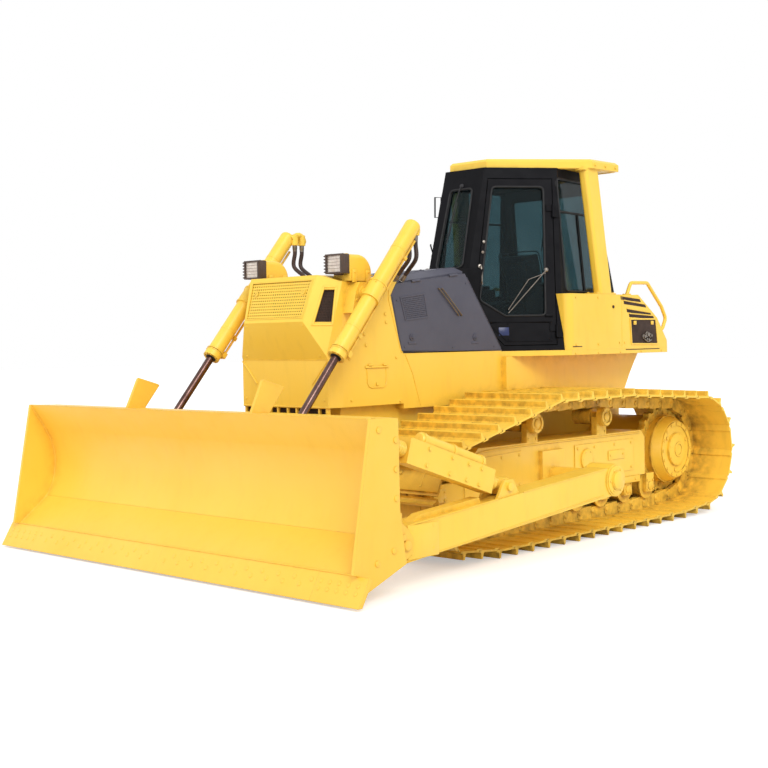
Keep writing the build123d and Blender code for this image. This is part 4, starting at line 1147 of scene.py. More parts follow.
for name, side in SIDES:
    out = Vector((0.681, 0.718, 0.145)).normalized()
    along = Vector((-out.y, out.x, 0)).normalized()
    rise = out.cross(along)
    spot = Vector((1.445, 0.437, 1.856))
    spot -= out * (spot - Vector((1.585, 0.328, 1.741))).dot(out)
    corners = ((-0.096, -0.126), (0.042, -0.128), (0.072, 0.127), (-0.017, 0.128))
    opening = [spot + along * a + rise * b for a, b in corners]
    window = Shape(name)
    outline_strip(window, scaled(opening, 1.17), out, 0.014, 0.005)
    outline_strip(window, [corner - out * 0.022 for corner in opening], out, 0.007, 0.022)
    window.piece("intake_frame_SIDE", machine, bevel=0.002)
    mesh = Shape(name)
    perforated(mesh, [corner - out * 0.020 for corner in opening], 0.0125, 0.72, 0.004)
    mesh.piece("intake_mesh_SIDE", dark_mesh_and_shade)

vent = Shape()
for low, high in ((1.044, 1.054), (1.094, 1.104)):
    vent.box((1.440, -0.46, low), (1.478, 0.46, high), bevel=0.003)
for y in (-0.455, -0.36, -0.265, -0.17, -0.085, 0.026, 0.123, 0.215, 0.370, 0.450):
    vent.box((1.440, y - 0.008, 1.048), (1.476, y + 0.008, 1.100), bevel=0.002)
vent.bolts([(1.478, y, 1.099) for y in (-0.455, 0.45)], AHEAD, 0.005)
vent.piece("lower_vent_frame", machine)
vent_back = Shape()
for k in range(8):
    z = 1.056 + k * 0.0055
    vent_back.box((1.4445, -0.452, z - 0.0015), (1.456, 0.448, z + 0.0015))
# The dark plate behind the slats stands in for the shade inside the vent: painted shade.
vent_back.box((1.440, -0.455, 1.050), (1.445, 0.45, 1.098))
vent_back.piece("lower_vent_screen", dark_mesh_and_shade)

# Headlamps: housing, toothed stone guard and pressed lens.
LAMP_LOW, LAMP_HIGH = Vector((1.300, 0.376, 2.092)), Vector((1.388, 0.544, 2.238))
LENS_WIDE, LENS_TALL, LENS_Y, LENS_Z, LENS_STEPS = 0.146, 0.124, 0.46, 2.165, 8


def pressed_lens(shape):
    """A swelled front face on a flat rear one."""
    rows = []
    for i in range(LENS_STEPS + 1):
        row = []
        for j in range(LENS_STEPS + 1):
            a, b = (i / LENS_STEPS - 0.5) * LENS_WIDE, (j / LENS_STEPS - 0.5) * LENS_TALL
            droop_a, droop_b = (
                0.9 * (2 * c / span) ** 4 for c, span in ((a, LENS_WIDE), (b, LENS_TALL))
            )
            swell = 0.009 * (1 - droop_a) * (1 - droop_b)
            row.append(shape.mesh.verts.new((1.374 + swell, LENS_Y + a, LENS_Z + b)))
        rows.append(row)
    for low_row, high_row in zip(rows, rows[1:]):
        for j in range(LENS_STEPS):
            shape.mesh.faces.new((low_row[j], high_row[j], high_row[j + 1], low_row[j + 1]))
    corners = ((-0.5, -0.5), (0.5, -0.5), (0.5, 0.5), (-0.5, 0.5))
    spots = [(1.3655, LENS_Y + a * LENS_WIDE, LENS_Z + b * LENS_TALL) for a, b in corners]
    rear = [shape.mesh.verts.new(spot) for spot in spots]
    shape.mesh.faces.new(rear)
    edges = [row[0] for row in rows], rows[-1], [row[-1] for row in rows[::-1]], rows[0][::-1]
    for k, line in enumerate(edges):
        shape.mesh.faces.new([rear[k], *line, rear[(k + 1) % 4]])


low, high = LAMP_LOW, LAMP_HIGH
for name, side in SIDES:
    shell = Shape(name)
    shell.box(low, (1.366, high.y, high.z), bevel=0.005)
    rim = [
        (1.364, a, b) for a,
        b in ((low.y, low.z), (high.y, low.z), (high.y, high.z), (low.y, high.z))
    ]
    outline_strip(shell, rim, AHEAD, 0.012, 0.025)
    for x in (1.315, 1.335, 1.355):
        rib = (x - 0.003, low.y - 0.002, low.z + 0.01), (x + 0.003, high.y + 0.002, high.z - 0.01)
        shell.box(*rib, bevel=0.001)
    tooth_y, tip_y = (low.y + 0.003, low.y - 0.013) if side > 0 else (
        high.y - 0.003, high.y + 0.013
    )
    for k in range(6):
        z = low.z + 0.014 + k * 0.0235
        shell.prism(
            [(1.384, tooth_y, z - 0.010), (1.384, tooth_y, z + 0.010), (1.392, tip_y, z)],
            (0.004, 0, 0)
        )
    for k in range(4):
        z = low.z + 0.038 + k * 0.0235
        shell.rod((1.3875, low.y + 0.006, z), (1.3875, high.y - 0.006, z), 0.0012, 6)
    shell.box((1.24, 0.44, 2.083), (1.365, 0.48, 2.094), bevel=0.003)
    shell.bolts([(1.345, y, high.z) for y in (0.40, 0.52)], UP, 0.006)
    made = shell.piece("headlamp_shell_SIDE", lamp_shell)
    if side > 0:
        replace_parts(made, "headlamps")
    glassy = Shape(name)
    pressed_lens(glassy)
    glassy.piece("headlamp_lens_SIDE", lens, smooth=50)
    dome = Shape(name)
    for x in (1.09, 1.235):
        for y, out in ((0.376, -1), (0.544, 1)):
            faces = sorted((y - out * 0.001, y + out * 0.011))
            dome.box(
                (x, faces[0], 2.028 if out > 0 else 2.07), (x + 0.045, faces[1], 2.125), bevel=0.003
            )
            dome.bolt((x + 0.022, y + out * 0.011, 2.105), (0, out, 0), 0.008)
    dome.box((1.03, 0.40, 2.083), (1.30, 0.52, 2.091), bevel=0.002)
    seam = (
        (0.378, 2.10), (0.378, 2.225), (0.40, 2.240), (0.52, 2.240), (0.542, 2.225), (0.542, 2.10)
    )
    dome.tube([(1.298, y, z) for y, z in seam], 0.004, 8)
    dome.piece("lamp_hood_fittings_SIDE", machine)
hood = Shape()
TILT = atan2(0.1, 0.835)
HOOD_UP = Vector((sin(TILT), 0, cos(TILT)))


def hood_top(x, y):
    """A point on the hood's flat top."""
    return Vector((x, y, 2.085 + (0.75 - x) * 0.1 / 0.835))


for x in (0.70, 0.02):
    for y in (-0.30, 0.30):
        hood.turned(hood_top(x, y), HOOD_UP, [(-0.001, 0.013), (0.005, 0.013), (0.007, 0.009)], 14)
plate = [hood_top(x, y) for x, y in ((0.10, -0.22), (0.10, 0.22), (0.44, 0.22), (0.44, -0.22))]
hood.prism([p - HOOD_UP * 0.001 for p in plate], HOOD_UP * 0.007)
hood.bolts(
    [hood_top(x, y) + HOOD_UP * 0.006 for x in (0.12, 0.42) for y in (-0.2, 0.2)], HOOD_UP, 0.009
)
grip = [
    hood_top(x, 0) + HOOD_UP * up for x, up in ((0.20, 0), (0.20, 0.04), (0.34, 0.04), (0.34, 0))
]
hood.tube(curve_points(grip, 5), 0.008, 10)
cap = [(0, 0.055), (0.012, 0.055), (0.016, 0.062), (0.040, 0.062), (0.048, 0.052)]
hood.turned(hood_top(0.60, -0.12), HOOD_UP, cap, 32)
for side in (-1, 1):
    hood.tube([hood_top(x, side * 0.36) for x in (0.745, 0.3, -0.08)], 0.004, 8)
hood.tube([hood_top(0.748, y) for y in (-0.36, 0, 0.36)], 0.004, 8)
for side in (-1, 1):
    for x in (0.95, 1.2):
        hood.turned((x, side * 0.28, 2.0849), UP, [(0, 0.012), (0.004, 0.012), (0.006, 0.008)], 12)
hood.piece("hood_fittings", cover_coat)

# Side covers: mesh panel, latches, grips and edge beads.
COVER_BEADS = (
    ((0.685, 1.50), (-0.545, 1.50)), ((0.695, 1.53), (0.795, 1.93)), ((-0.55, 1.515), (-0.11, 2.10))
)
for name, side in SIDES:
    patch = Shape(name)
    quad = [
        Vector(c)
        for c in at_y(HULL_FACE, ((0.710, 1.928), (0.420, 1.963), (0.376, 1.768), (0.650, 1.742)))
    ]
    outline_strip(patch, quad, LEFT, 0.012, 0.004)
    sheet = [corner + Vector((0, 0.0003, 0)) for corner in scaled(quad, 0.9)]
    perforated(patch, sheet[::-1], 0.0145, 0.66, 0.003)
    patch.piece("cover_mesh_SIDE", cover_coat, "side_cover_SIDE")
    parts = Shape(name)
    for x, z in ((0.574, 1.616), (-0.207, 1.609)):
        parts.ring((x, HULL_FACE, z), LEFT, 0.017, 0.028, 0.006, 24)
        parts.turned((x, HULL_FACE, z), LEFT, [(0, 0.016), (0.009, 0.016), (0.011, 0.012)], 18)
        parts.box((x - 0.004, 0.510, z - 0.014), (x + 0.004, 0.515, z + 0.014), bevel=0.001)
        parts.box(
            (x - 0.045, HULL_FACE, z - 0.055), (x + 0.045, HULL_FACE + 0.004, z - 0.04), bevel=0.001
        )
    grips = Shape(name)
    line = (
        (0.205, 0.5, 1.997), (0.195, 0.512, 1.988), (-0.014, 0.512, 1.803), (-0.025, 0.5, 1.794)
    )
    for shift in (0, 0.040):
        grips.tube(curve_points([(x + shift, y, z) for x, y, z in line], 5), 0.0045, 10)
    grips.piece("cover_grips_SIDE", tan_rod, "side_cover_SIDE")
    for ends in COVER_BEADS:
        parts.tube(even_points(*at_y(HULL_FACE + 0.0005, ends)), 0.003, 8)
    for x, z in ((0.66, 1.54), (0.08, 1.53), (-0.46, 1.53), (0.74, 1.90), (-0.10, 2.05)):
        parts.turned((x, HULL_FACE, z), LEFT, [(-0.001, 0.008), (0.003, 0.008), (0.004, 0.005)], 10)
    parts.piece("cover_fittings_SIDE", cover_coat, "side_cover_SIDE")
# ---------------------------------------------------------------- cab
WALLS = {
    "front": ((-0.469, 0, 2.170), (0.966, 0, 0.258)),
    "door": ((-0.600, 0.470, 1.490), (0.587, 0.792, 0.166)),
    "side": ((-1.040, 0.800, 1.470), (-0.132, 0.986, 0.100)),
    "rear": ((-2.150, 0, 1.980), (-0.981, 0, 0.196)),
}
SEAL_CORNER = 0.045
OPENINGS = {
    "front": [(-0.150, 0.040), (0.150, 0.040), (0.125, 0.760), (-0.125, 0.760)],
    "rear": [(-0.490, 0.060), (0.490, 0.060), (0.425, 0.950), (-0.425, 0.950)],
    "side": [(0.155, 0.530), (0.960, 0.530), (0.900, 1.525), (0.195, 1.525)],
    "door": [(0.050, 0.300), (0.410, 0.300), (0.462, 1.440), (0.000, 1.440), (-0.168, 0.440)],
}


def wall_axes(name):
    """A cab wall's origin, and its directions along, up and out."""
    point, normal = WALLS[name]
    out = Vector(normal).normalized()
    along = Vector((-out.y, out.x, 0)).normalized()
    return Vector(point), along, out.cross(along), out


def on_wall(name, along, up, out=0.0):
    """A point given in a cab wall's plane."""
    origin, a, u, o = wall_axes(name)
    return origin + a * along + u * up + o * out


def window_seal(shape, name):
    """The rubber seal round a window."""
    for out, radius in ((0.001, 0.009), (-0.016, 0.007)):
        line = [on_wall(name, a, u, out) for a, u in rounded_outline(OPENINGS[name], SEAL_CORNER)]
        shape.tube(line, radius, 8, closed=True)


def wiper(shape, name, pivot, tip, blade_half, lift=0.012):
    """A wiper: motor boss, sprung arm and blade."""
    out = wall_axes(name)[3]
    start, end = on_wall(name, *pivot, lift), on_wall(name, *tip, lift)
    boss = [(0, 0.020), (0.012, 0.020), (0.020, 0.014), (0.024, 0.008)]
    shape.turned(on_wall(name, *pivot, -0.004), out, boss, 18)
    bow = (start + end) / 2 + out * 0.016
    shape.tube(curve_points([start + out * 0.006, bow, end + out * 0.004], 6), 0.0042, 8)
    run = (end - start).normalized()
    place = standing(end - run * blade_half * 0.8 - out * 0.004, run)
    shape.box((-0.004, -0.003, -blade_half), (0.004, 0.003, blade_half), place)


seals = Shape()
for name in ("front", "rear", "side"):
    window_seal(seals, name)
right_seal = Shape("right")
window_seal(right_seal, "side")
right_seal.piece("window_seal_SIDE", seal)
seals.piece("window_seals", seal)

for name, side in SIDES:
    sash = Shape(name)
    for start, end in (((0.18, 1.236), (0.93, 1.236)), ((0.55, 0.545), (0.55, 1.236))):
        for out in (-0.014, -0.030):
            sash.tube([on_wall("side", *start, out), on_wall("side", *end, out)], 0.010, 8)
    sash.piece("window_sash_SIDE", seal)

front_wipers = Shape()
wiper(front_wipers, "front", (0.0, 0.79), (-0.06, 0.30), 0.19)
wiper(front_wipers, "rear", (0.0, 0.975), (0.16, 0.50), 0.22)
front_wipers.piece("cab_wipers", trim)

along, rise, door_out = wall_axes("door")[1:]
for name, side in SIDES:
    body = f"cab_door_{name}"
    rubbers = Shape(name)
    window_seal(rubbers, "door")
    rubbers.piece("door_seal_SIDE", seal, body)
    fit = Shape(name)
    wiper(fit, "door", (0.440, 0.700), (0.100, 0.345), 0.16)
    line = ((0.430, 0.670, 0.014), (0.272, 0.612, 0.020), (0.077, 0.351, 0.014))
    fit.tube([on_wall("door", *spot) for spot in line], 0.0035, 8)
    fit.piece("door_wiper_SIDE", steel, body, slot="trim")
    bright = Shape(name)
    handle = [
        (-0.144, 0.735, 0.001), (-0.146, 0.72, 0.038), (-0.148, 0.60, 0.038), (-0.150, 0.585, 0.001)
    ]
    bright.tube(curve_points([on_wall("door", *spot) for spot in handle], 6), 0.0085, 10)
    for up in (0.735, 0.585):
        bright.turned(
            on_wall("door", -0.147, up), door_out, [(0, 0.018), (0.004, 0.018), (0.006, 0.012)], 16
        )
    for across, up in ((-0.102, 0.949), (-0.117, 0.858)):
        bright.turned(
            on_wall("door", across, up), door_out, [(0, 0.013), (0.008, 0.013), (0.010, 0.008)], 14
        )
    bright.piece("door_handle_SIDE", steel, body)
    panel = Shape(name)
    lower = [(0.055, 0.075), (0.455, 0.075), (0.462, 0.245), (0.055, 0.245), (-0.115, 0.245)]
    outline_strip(panel, [on_wall("door", p, q) for p, q in lower], door_out, 0.010, 0.004)
    panel.block(on_wall("door", 0.44, 0.30), door_out, 0.035, 0.012, 0.014, 0.003)
    for p, q in ((0.07, 0.09), (0.44, 0.09), (0.445, 0.23), (0.07, 0.23)):
        panel.turned(
            on_wall("door", p, q), door_out, [(-0.001, 0.008), (0.003, 0.008), (0.005, 0.005)], 12
        )
    panel.piece("door_panel_fittings_SIDE", cab_coat, body)
    label = Shape(name)
    spot = frame_of(along, rise, door_out, on_wall("door", 0.03, 0.165))
    label.box((-0.045, -0.035, -0.0005), (0.045, 0.035, 0.0018), spot, 0.0008)
    label.piece("blank_plate_SIDE", label_plate, body)

# ---------------------------------------------------------------- seat and cab interior
CUSHION_VOXEL = 0.012
CUSHION_REACH = 0.022


def swelled(made, reach):
    """Swells a closed pad with a short cloth simulation; no point moves further than the reach."""
    data = made.data
    scene = bpy.context.scene
    rest = [v.co.copy() for v in data.vertices]
    swell = made.modifiers.new("swell", "CLOTH")
    swell.settings.use_pressure = True
    swell.settings.uniform_pressure_force = 4
    swell.settings.effector_weights.gravity = 0
    for moment in range(1, 21):
        scene.frame_set(moment)
    shaped = made.evaluated_get(bpy.context.evaluated_depsgraph_get()).data
    moved = [v.co.copy() for v in shaped.vertices]
    made.modifiers.remove(swell)
    scene.frame_set(1)
    for vertex, old, new in zip(data.vertices, rest, moved):
        step = new - old
        if step.length > reach:
            step *= reach / step.length
        vertex.co = old + step


def cushion(name, size, place, channels):
    """A crowned pad with sewn channels across it."""
    half = Vector(size) / 2
    block = Shape().box(-half, half, bevel=0.03)
    data = bpy.data.meshes.new(name)
    block.mesh.to_mesh(data)
    block.mesh.free()
    made = bpy.data.objects.new(name, data)
    bpy.context.scene.collection.objects.link(made)
    grid = made.modifiers.new("grid", "REMESH")
    grid.mode = "VOXEL"
    grid.voxel_size = CUSHION_VOXEL
    shaped = made.evaluated_get(bpy.context.evaluated_depsgraph_get())
    fine = bpy.data.meshes.new_from_object(shaped)
    made.modifiers.clear()
    made.data = fine
    swelled(made, CUSHION_REACH)
    for vertex in fine.vertices:
        edge = min(half.x - abs(vertex.co.x), half.y - abs(vertex.co.y))
        press = sum(
            exp(-((vertex.co.x - x) / 0.011) ** 2) for x in channels
        ) * min(max(edge / 0.05, 0), 1)
        if vertex.co.z > 0:
            vertex.co.z -= 0.011 * press
    smoother = made.modifiers.new("smooth", "SUBSURF")
    smoother.levels = smoother.render_levels = 1
    fine.transform(place)
    fine.polygons.foreach_set("use_smooth", [True] * len(fine.polygons))
    fine.materials.clear()
    fine.materials.append(cloth)
    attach(made, "chassis")
    return made


SEAT_PLACE = Matrix.Translation((-1.27, 0, 1.855))
BACK_TURN = Matrix.Rotation(radians(-73), 4, "Y") @ Matrix.Rotation(pi, 4, "X")
BACK_PLACE = Matrix.Translation((-1.535, 0, 2.165)) @ BACK_TURN
seat_pad = cushion("seat_cushion", (0.52, 0.46, 0.10), SEAT_PLACE, (-0.13, 0.0, 0.13))
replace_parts(seat_pad, "seat")
cushion("seat_backrest", (0.44, 0.44, 0.085), BACK_PLACE, (-0.12, 0.0, 0.12))
piping = Shape()
for place, half_x, half_y in ((SEAT_PLACE, 0.272, 0.242), (BACK_PLACE, 0.232, 0.232)):
    loop = rounded_outline(
        [(-half_x, -half_y), (half_x, -half_y), (half_x, half_y), (-half_x, half_y)], 0.05
    )
    piping.tube([place @ Vector((a, b, 0.0)) for a, b in loop], 0.005, 8, closed=True)
piping.piece("seat_piping", seal)
mount = Shape()
mount.box((-1.52, -0.20, 1.515), (-1.04, 0.20, 1.545), bevel=0.006)
for k in range(5):
    z = 1.56 + k * 0.034
    mount.box((-1.47, -0.17, z), (-1.09, 0.17, z + 0.022), bevel=0.010)
mount.box((-1.53, -0.215, 1.735), (-1.02, 0.215, 1.790), bevel=0.012)
mount.box((-1.585, -0.20, 1.80), (-1.560, 0.20, 2.10), Matrix.Translation((0.01, 0, 0)), 0.008)
for side in (-1, 1):
    mount.rod((-1.45, side * 0.18, 1.545), (-1.12, side * 0.18, 1.735), 0.012)
    mount.box(
        (-1.53, side * 0.205 - 0.012, 1.790), (-1.50, side * 0.205 + 0.012, 1.83), bevel=0.004
    )
mount.piece("seat_suspension", trim)

fit = Shape()
for side in (-1, 1):
    y = side * 0.37
    fit.box((-1.44, y - 0.062, 2.050), (-1.12, y + 0.062, 2.085), bevel=0.014)
    boot = [(0, 0.045), (0.012, 0.045), (0.03, 0.034), (0.05, 0.036), (0.07, 0.026), (0.09, 0.024)]
    fit.turned((-1.055, y, 2.048), (0.12, 0, 1), boot, 20)
    knob = [(0, 0.022), (0.02, 0.030), (0.06, 0.034), (0.085, 0.026), (0.095, 0.012)]
    fit.turned((-1.028, y, 2.175), (0.14, 0, 1), knob, 20)
    fit.box((-1.46, y + side * 0.070, 1.62), (-1.0, y + side * 0.075, 1.98), bevel=0.003)
    for x in (-1.43, -1.03):
        fit.turned(
            (x, y + side * 0.075, 1.94), (0, side, 0), [(0, 0.009), (0.003, 0.009), (0.004, 0.006)],
            10
        )
    for k in range(3):
        fit.box(
            (-1.09 + k * 0.04, y - 0.05, 2.049), (-1.07 + k * 0.04, y - 0.03, 2.060), bevel=0.002
        )
dash_out = Vector((-0.987, 0, -0.163))
dash_up = Vector((-0.163, 0, 0.987))
dash = Vector((-0.62, 0, 1.515))
for y, radius in ((-0.10, 0.040), (0.0, 0.048), (0.10, 0.040)):
    spot = dash + dash_up * 0.52 + Vector((0, y, 0))
    fit.ring(spot, dash_out, radius, radius + 0.007, 0.010)
    fit.turned(spot, dash_out, [(-0.001, radius - 0.002), (0.003, radius - 0.002)], 24)
for k in range(5):
    spot = dash + dash_up * 0.40 + Vector((0, -0.10 + k * 0.05, 0))
    fit.block(spot, dash_out, 0.014, 0.009, 0.010, 0.003)
pedal_place = Matrix.Translation((-0.86, 0, 1.60)) @ Matrix.Rotation(radians(35), 4, "Y")
for y in (-0.20, 0.12):
    fit.box((-0.09, y, 0.0), (0.09, y + 0.08, 0.014), pedal_place, 0.005)
    fit.rod((-0.80, y + 0.04, 1.56), (-0.72, y + 0.04, 1.516), 0.012)
for k in range(14):
    fit.box((-0.98 + k * 0.025, -0.27, 1.515), (-0.968 + k * 0.025, 0.27, 1.521), bevel=0.002)
fit.box((-0.94, -0.16, 2.955), (-0.90, 0.16, 2.985), bevel=0.012)
fit.piece("cab_controls", trim)
# ---------------------------------------------------------------- tank, side boxes and deck
SLOPE_OUT = Vector((-0.545, 0, 0.838))
SLOPE_REAR = Vector((-0.779, 0, 0.627))
LOUVERS = (
    ((-1.859, 1.958), (-2.179, 1.935)),
    ((-1.909, 1.918), (-2.270, 1.886)),
    ((-1.958, 1.845), (-2.361, 1.809)),
    ((-1.996, 1.800), (-2.408, 1.781)),
)
VALVES = (
    (-2.235, 1.590, 0.022), (-2.290, 1.612, 0.026), (-2.345, 1.600, 0.020), (-2.300, 1.560, 0.018)
)
TANK_WINDOW = [(-2.008, 1.759), (-2.455, 1.759), (-2.491, 1.512), (-2.029, 1.518)]
SIDE_FACE = 0.85
for name, side in SIDES:
    slots = Shape(name)
    lips = Shape(name)
    for (x1, z1), (x2, z2) in LOUVERS:
        # The dark bands under the louver lips stand in for the shade inside the slot openings:
        # painted shade.
        slot = ((x1, z1), (x2, z2), (x2 - 0.02, z2 - 0.028), (x1 - 0.006, z1 - 0.031))
        slots.prism(at_y(SIDE_FACE, slot), (0, 0.0015, 0))
        lips.tube(at_y(SIDE_FACE + 0.001, ((x1, z1 + 0.003), (x2, z2 + 0.003))), 0.006, 8)
    ring = [Vector(c) for c in at_y(SIDE_FACE, TANK_WINDOW)]
    outline_strip(lips, ring, LEFT, 0.014, 0.006)
    slots.prism(scaled(ring, 0.965), (0, 0.0012, 0))
    for x1, x2, z in ((-1.247, -1.109, 1.509), (-2.517, -1.939, 1.471)):
        slots.box((x1, SIDE_FACE, z), (x2, SIDE_FACE + 0.0015, z + 0.008), bevel=0.0005)
    slots.turned((-1.739, SIDE_FACE, 1.861), LEFT, [(0, 0.014), (0.006, 0.014), (0.008, 0.010)], 14)
    slots.piece("tank_slots_SIDE", dark_mesh_and_shade)
    spots = (
        (-1.16, 1.94), (-1.16, 1.53), (-1.50, 1.94), (-1.50, 1.53), (-1.84, 1.54), (-1.92, 1.54)
    )
    lips.bolts(at_y(SIDE_FACE, spots), LEFT, 0.009)
    lips.tube(at_y(SIDE_FACE, ((-1.880, 1.492), (-1.880, 1.968))), 0.003, 8)
    lips.bolts([(x, SIDE_FACE, 1.455) for x in (-1.15, -1.5, -1.85, -2.2, -2.55)], LEFT, 0.008)
    lips.box((-1.80, 0.705, 1.972), (-1.50, 0.845, 1.984), bevel=0.003)
    lips.bolts([(x, y, 1.984) for x in (-1.775, -1.525) for y in (0.73, 0.825)], UP, 0.011)
    lips.ring((-2.04, 0.80, 1.972), UP, 0.017, 0.040, 0.010)
    lips.ring((-2.567, 0.80, 1.657), SLOPE_REAR, 0.017, 0.040, 0.010)
    for angle in (0.8, 2.4, 3.9, 5.5):
        lips.bolt((-2.04 + 0.030 * cos(angle), 0.80 + 0.030 * sin(angle), 1.981), UP, 0.005)
    lips.bolts([(x, 0.81, 3.112) for x in (-1.54, -1.70, -1.86)], LEFT, 0.012)
    lips.piece("side_box_fittings_SIDE", machine)
    valves = Shape(name)
    for x, z, radius in VALVES:
        profile = [(0.001, radius), (0.010, radius), (0.014, radius * 0.7), (0.026, radius * 0.7)]
        valves.turned((x, SIDE_FACE, z), LEFT, profile + [(0.028, radius * 0.5)], 16)
    line = ((-2.24, 0.010, 1.565), (-2.30, 0.014, 1.540), (-2.36, 0.010, 1.560))
    valves.tube([(x, SIDE_FACE + out, z) for x, out, z in line], 0.006, 8)
    valves.piece("tank_valves_SIDE", steel)
    tabs = Shape(name)
    for x in (-2.09, -2.385):
        tabs.box(
            (x - 0.022, SIDE_FACE + 0.001, 1.700), (x + 0.022, SIDE_FACE + 0.008, 1.735),
            bevel=0.002
        )
        tabs.turned(
            (x, SIDE_FACE + 0.007, 1.717), LEFT, [(0, 0.010), (0.004, 0.010), (0.006, 0.007)], 12
        )
    tabs.piece("tank_tabs_SIDE", machine)
    lights, rims = Shape(name), Shape(name)
    for y in (0.56, 0.43):
        spot = (-2.565, y, 1.659)
        lights.turned(spot, SLOPE_REAR, [(-0.001, 0.052), (0.012, 0.052), (0.020, 0.044)], 28)
        rims.ring(spot, SLOPE_REAR, 0.051, 0.062, 0.014, 28)
    lights.piece("rear_lamps_SIDE", red_lens)
    rims.piece("rear_lamp_rims_SIDE", trim)

rear = Shape()
cap_spot = Vector((-2.32, -0.45, 1.868))
rear.turned(cap_spot, SLOPE_OUT, [(-0.004, 0.062), (0.020, 0.062), (0.024, 0.056)], 32)
rear.turned(cap_spot, SLOPE_OUT, [(0.020, 0.048), (0.046, 0.052), (0.054, 0.046)], 24)
for k in range(8):
    grip = standing(cap_spot, SLOPE_OUT) @ Matrix.Rotation(k * pi / 4, 4, "Z")
    rear.box((0.046, -0.007, 0.022), (0.056, 0.007, 0.048), grip, 0.002)
for y in (-0.74, -0.25, 0.25, 0.74):
    rear.bolts(at_y(y, ((-2.19, 1.9525), (-2.45, 1.7835))), SLOPE_OUT, 0.010)
for x, z in ((-2.16, 1.971), (-2.48, 1.763)):
    rear.tube([(x, y, z) for y in (-0.84, -0.4, 0, 0.4, 0.84)], 0.004, 8)
for y in (-0.1, 0.3):
    rear.block((-2.31, y, 1.8745), SLOPE_OUT, 0.10, 0.012, 0.030, 0.004)
rear.box((-2.490, -0.32, 0.82), (-2.479, 0.32, 1.08), bevel=0.005)
rear.bolts([(-2.490, y, z) for y in (-0.28, -0.09, 0.09, 0.28) for z in (0.85, 1.05)], BACK, 0.011)
rear.bolts([(-2.480, y, 0.86 + k * 0.09) for y in (-0.36, 0.36) for k in range(3)], BACK, 0.014)
rear.bolts([(-2.5205, y, z) for y in (-0.105, 0.105) for z in (0.66, 0.70)], BACK, 0.012)
rear.piece("rear_fittings", machine)
HITCH_X = -2.692
pin = Shape()
pin.rod((HITCH_X, 0, 0.545), (HITCH_X, 0, 0.800), 0.025, 20)
pin.turned((HITCH_X, 0, 0.7805), UP, [(0, 0.038), (0.010, 0.038), (0.014, 0.033)], 24)
loop = ((-0.022, 0.79), (-0.026, 0.85), (0, 0.878), (0.026, 0.85), (0.022, 0.79))
pin.tube(curve_points([(HITCH_X, y, z) for y, z in loop], 5), 0.007, 8)
pin.piece("towing_pin", steel)
cap_seal = Shape()
cap_seal.ring(cap_spot - SLOPE_OUT * 0.001, SLOPE_OUT, 0.062, 0.070, 0.006, 32)
cap_seal.piece("fuel_cap_seal", seal)

# ---------------------------------------------------------------- hull, roof and engine
hull = Shape()
for x1, x2 in ((-2.20, -1.20), (-1.18, -0.10), (-0.08, 1.00)):
    hull.box((x1, -0.395, 0.498), (x2, 0.395, 0.511), bevel=0.004)
    for x in (x1 + 0.05, (x1 + x2) / 2, x2 - 0.05):
        hull.bolts([(x, y, 0.498) for y in (-0.36, 0.36)], DOWN, 0.014)
hull.piece("belly_plates", machine)
ROOF_EDGE_Z = 3.083
roof = Shape()
for side in (-1, 1):
    for x, y in ((-0.78, 0.19), (-1.05, 0.42), (-1.30, 0.62)):
        roof.turned((x, side * y, 3.0805), DOWN, [(0, 0.016), (0.006, 0.016), (0.008, 0.011)], 14)
    edge = ((-0.79, 0.215), (-1.10, 0.470), (-1.48, 0.783), (-1.88, 0.783))
    roof.tube([(x, side * y, ROOF_EDGE_Z) for x, y in edge], 0.010, 8)
    roof.box((-1.66, side * 0.735 - 0.05, 3.062), (-1.40, side * 0.735 + 0.05, 3.081), bevel=0.004)
    roof.bolts([(x, side * 0.735, 3.062) for x in (-1.64, -1.42)], DOWN, 0.010)
roof.tube([(-1.885, y, ROOF_EDGE_Z) for y in (-0.78, -0.3, 0.3, 0.78)], 0.010, 8)
roof.bolts([(-1.909, y, 3.112) for y in (-0.6, -0.2, 0.2, 0.6)], BACK, 0.012)
roof.piece("roof_fittings", machine)

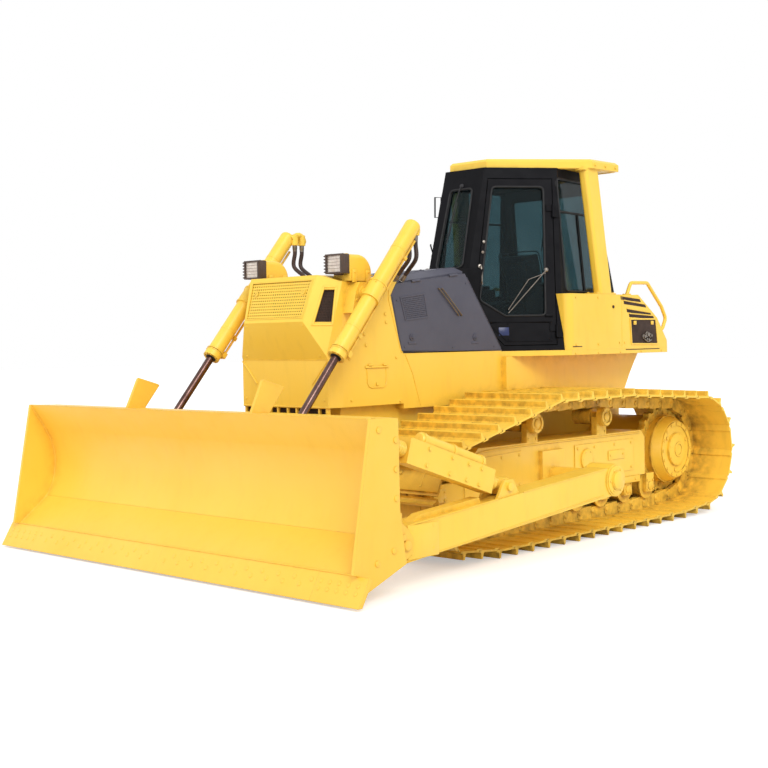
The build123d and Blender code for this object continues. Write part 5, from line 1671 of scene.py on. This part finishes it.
motor = Shape()
for k in range(4):
    x = 0.10 + k * 0.235
    motor.box((x, -0.14, 1.845), (x + 0.20, 0.10, 1.925), bevel=0.018)
    motor.bolts([(x + 0.10, y, 1.925) for y in (-0.10, 0.06)], UP, 0.011)
    branch = ((0.275, 1.70), (0.345, 1.72), (0.355, 1.66))
    motor.tube(curve_points([(x + 0.10, y, z) for y, z in branch], 5), 0.028, 12)
for y, z, radius in ((0.355, 1.655, 0.042), (-0.335, 1.68, 0.038)):
    motor.tube([(x, y, z) for x in (0.12, 0.5, 0.92)], radius, 16)
for k in range(3):
    filter_can = [(0, 0.055), (0.02, 0.055), (0.02, 0.062), (0.11, 0.062), (0.125, 0.045)]
    motor.turned((0.22 + k * 0.27, -0.279, 1.35), RIGHT, filter_can, 28)
for x in (0.06, 0.34, 0.62, 0.90):
    for z in (1.18, 1.30, 1.78):
        motor.bolt((x, 0.28, z), LEFT, 0.013)
        motor.bolt((x, -0.28, z), RIGHT, 0.013)
    motor.box((x - 0.02, -0.285, 1.10), (x + 0.02, 0.285, 1.14), bevel=0.004)
pulley = [(0, 0.10), (0.03, 0.10), (0.03, 0.085), (0.05, 0.085), (0.05, 0.10), (0.07, 0.10)]
motor.turned((0.999, 0, 1.30), AHEAD, pulley, 36)
for y in (-0.415, 0.395):
    motor.box((1.075, y, 1.10), (1.09, y + 0.02, 1.98), bevel=0.004)
motor.turned((1.14, 0.2, 1.979), UP, [(0, 0.034), (0.016, 0.034), (0.022, 0.028)], 20)
motor.piece("engine_dressing", casting)
hoses = Shape()
upper = [(1.082, 0.16, 1.93), (1.02, 0.15, 1.94), (0.96, 0.12, 1.90), (0.93, 0.10, 1.86)]
lower = [(1.082, -0.25, 1.20), (1.02, -0.25, 1.20), (0.98, -0.22, 1.24), (0.96, -0.2, 1.28)]
for line in (upper, lower):
    hoses.tube(curve_points(line, 6), 0.030, 16)
hoses.piece("coolant_hoses", rubber)

mirror = Shape("right")
rim = ((-0.886, 2.894), (-0.974, 2.900), (-0.970, 2.717), (-0.882, 2.711))
mirror.tube(at_y(0.5, rim), 0.008, 8, closed=True)
mirror.tube(
    [(-0.930, 0.5, 2.71), (-0.90, 0.49, 2.60), (-0.855, 0.47, 2.50), (-0.835, 0.462, 2.42)], 0.007,
    8
)
stay = [(-0.765, 0.455, 2.455), (-0.79, 0.475, 2.44), (-0.83, 0.475, 2.35), (-0.821, 0.46, 2.321)]
mirror.tube(curve_points(stay, 5), 0.007, 8)
mirror.piece("outside_mirror", seal, "cab_door_right")
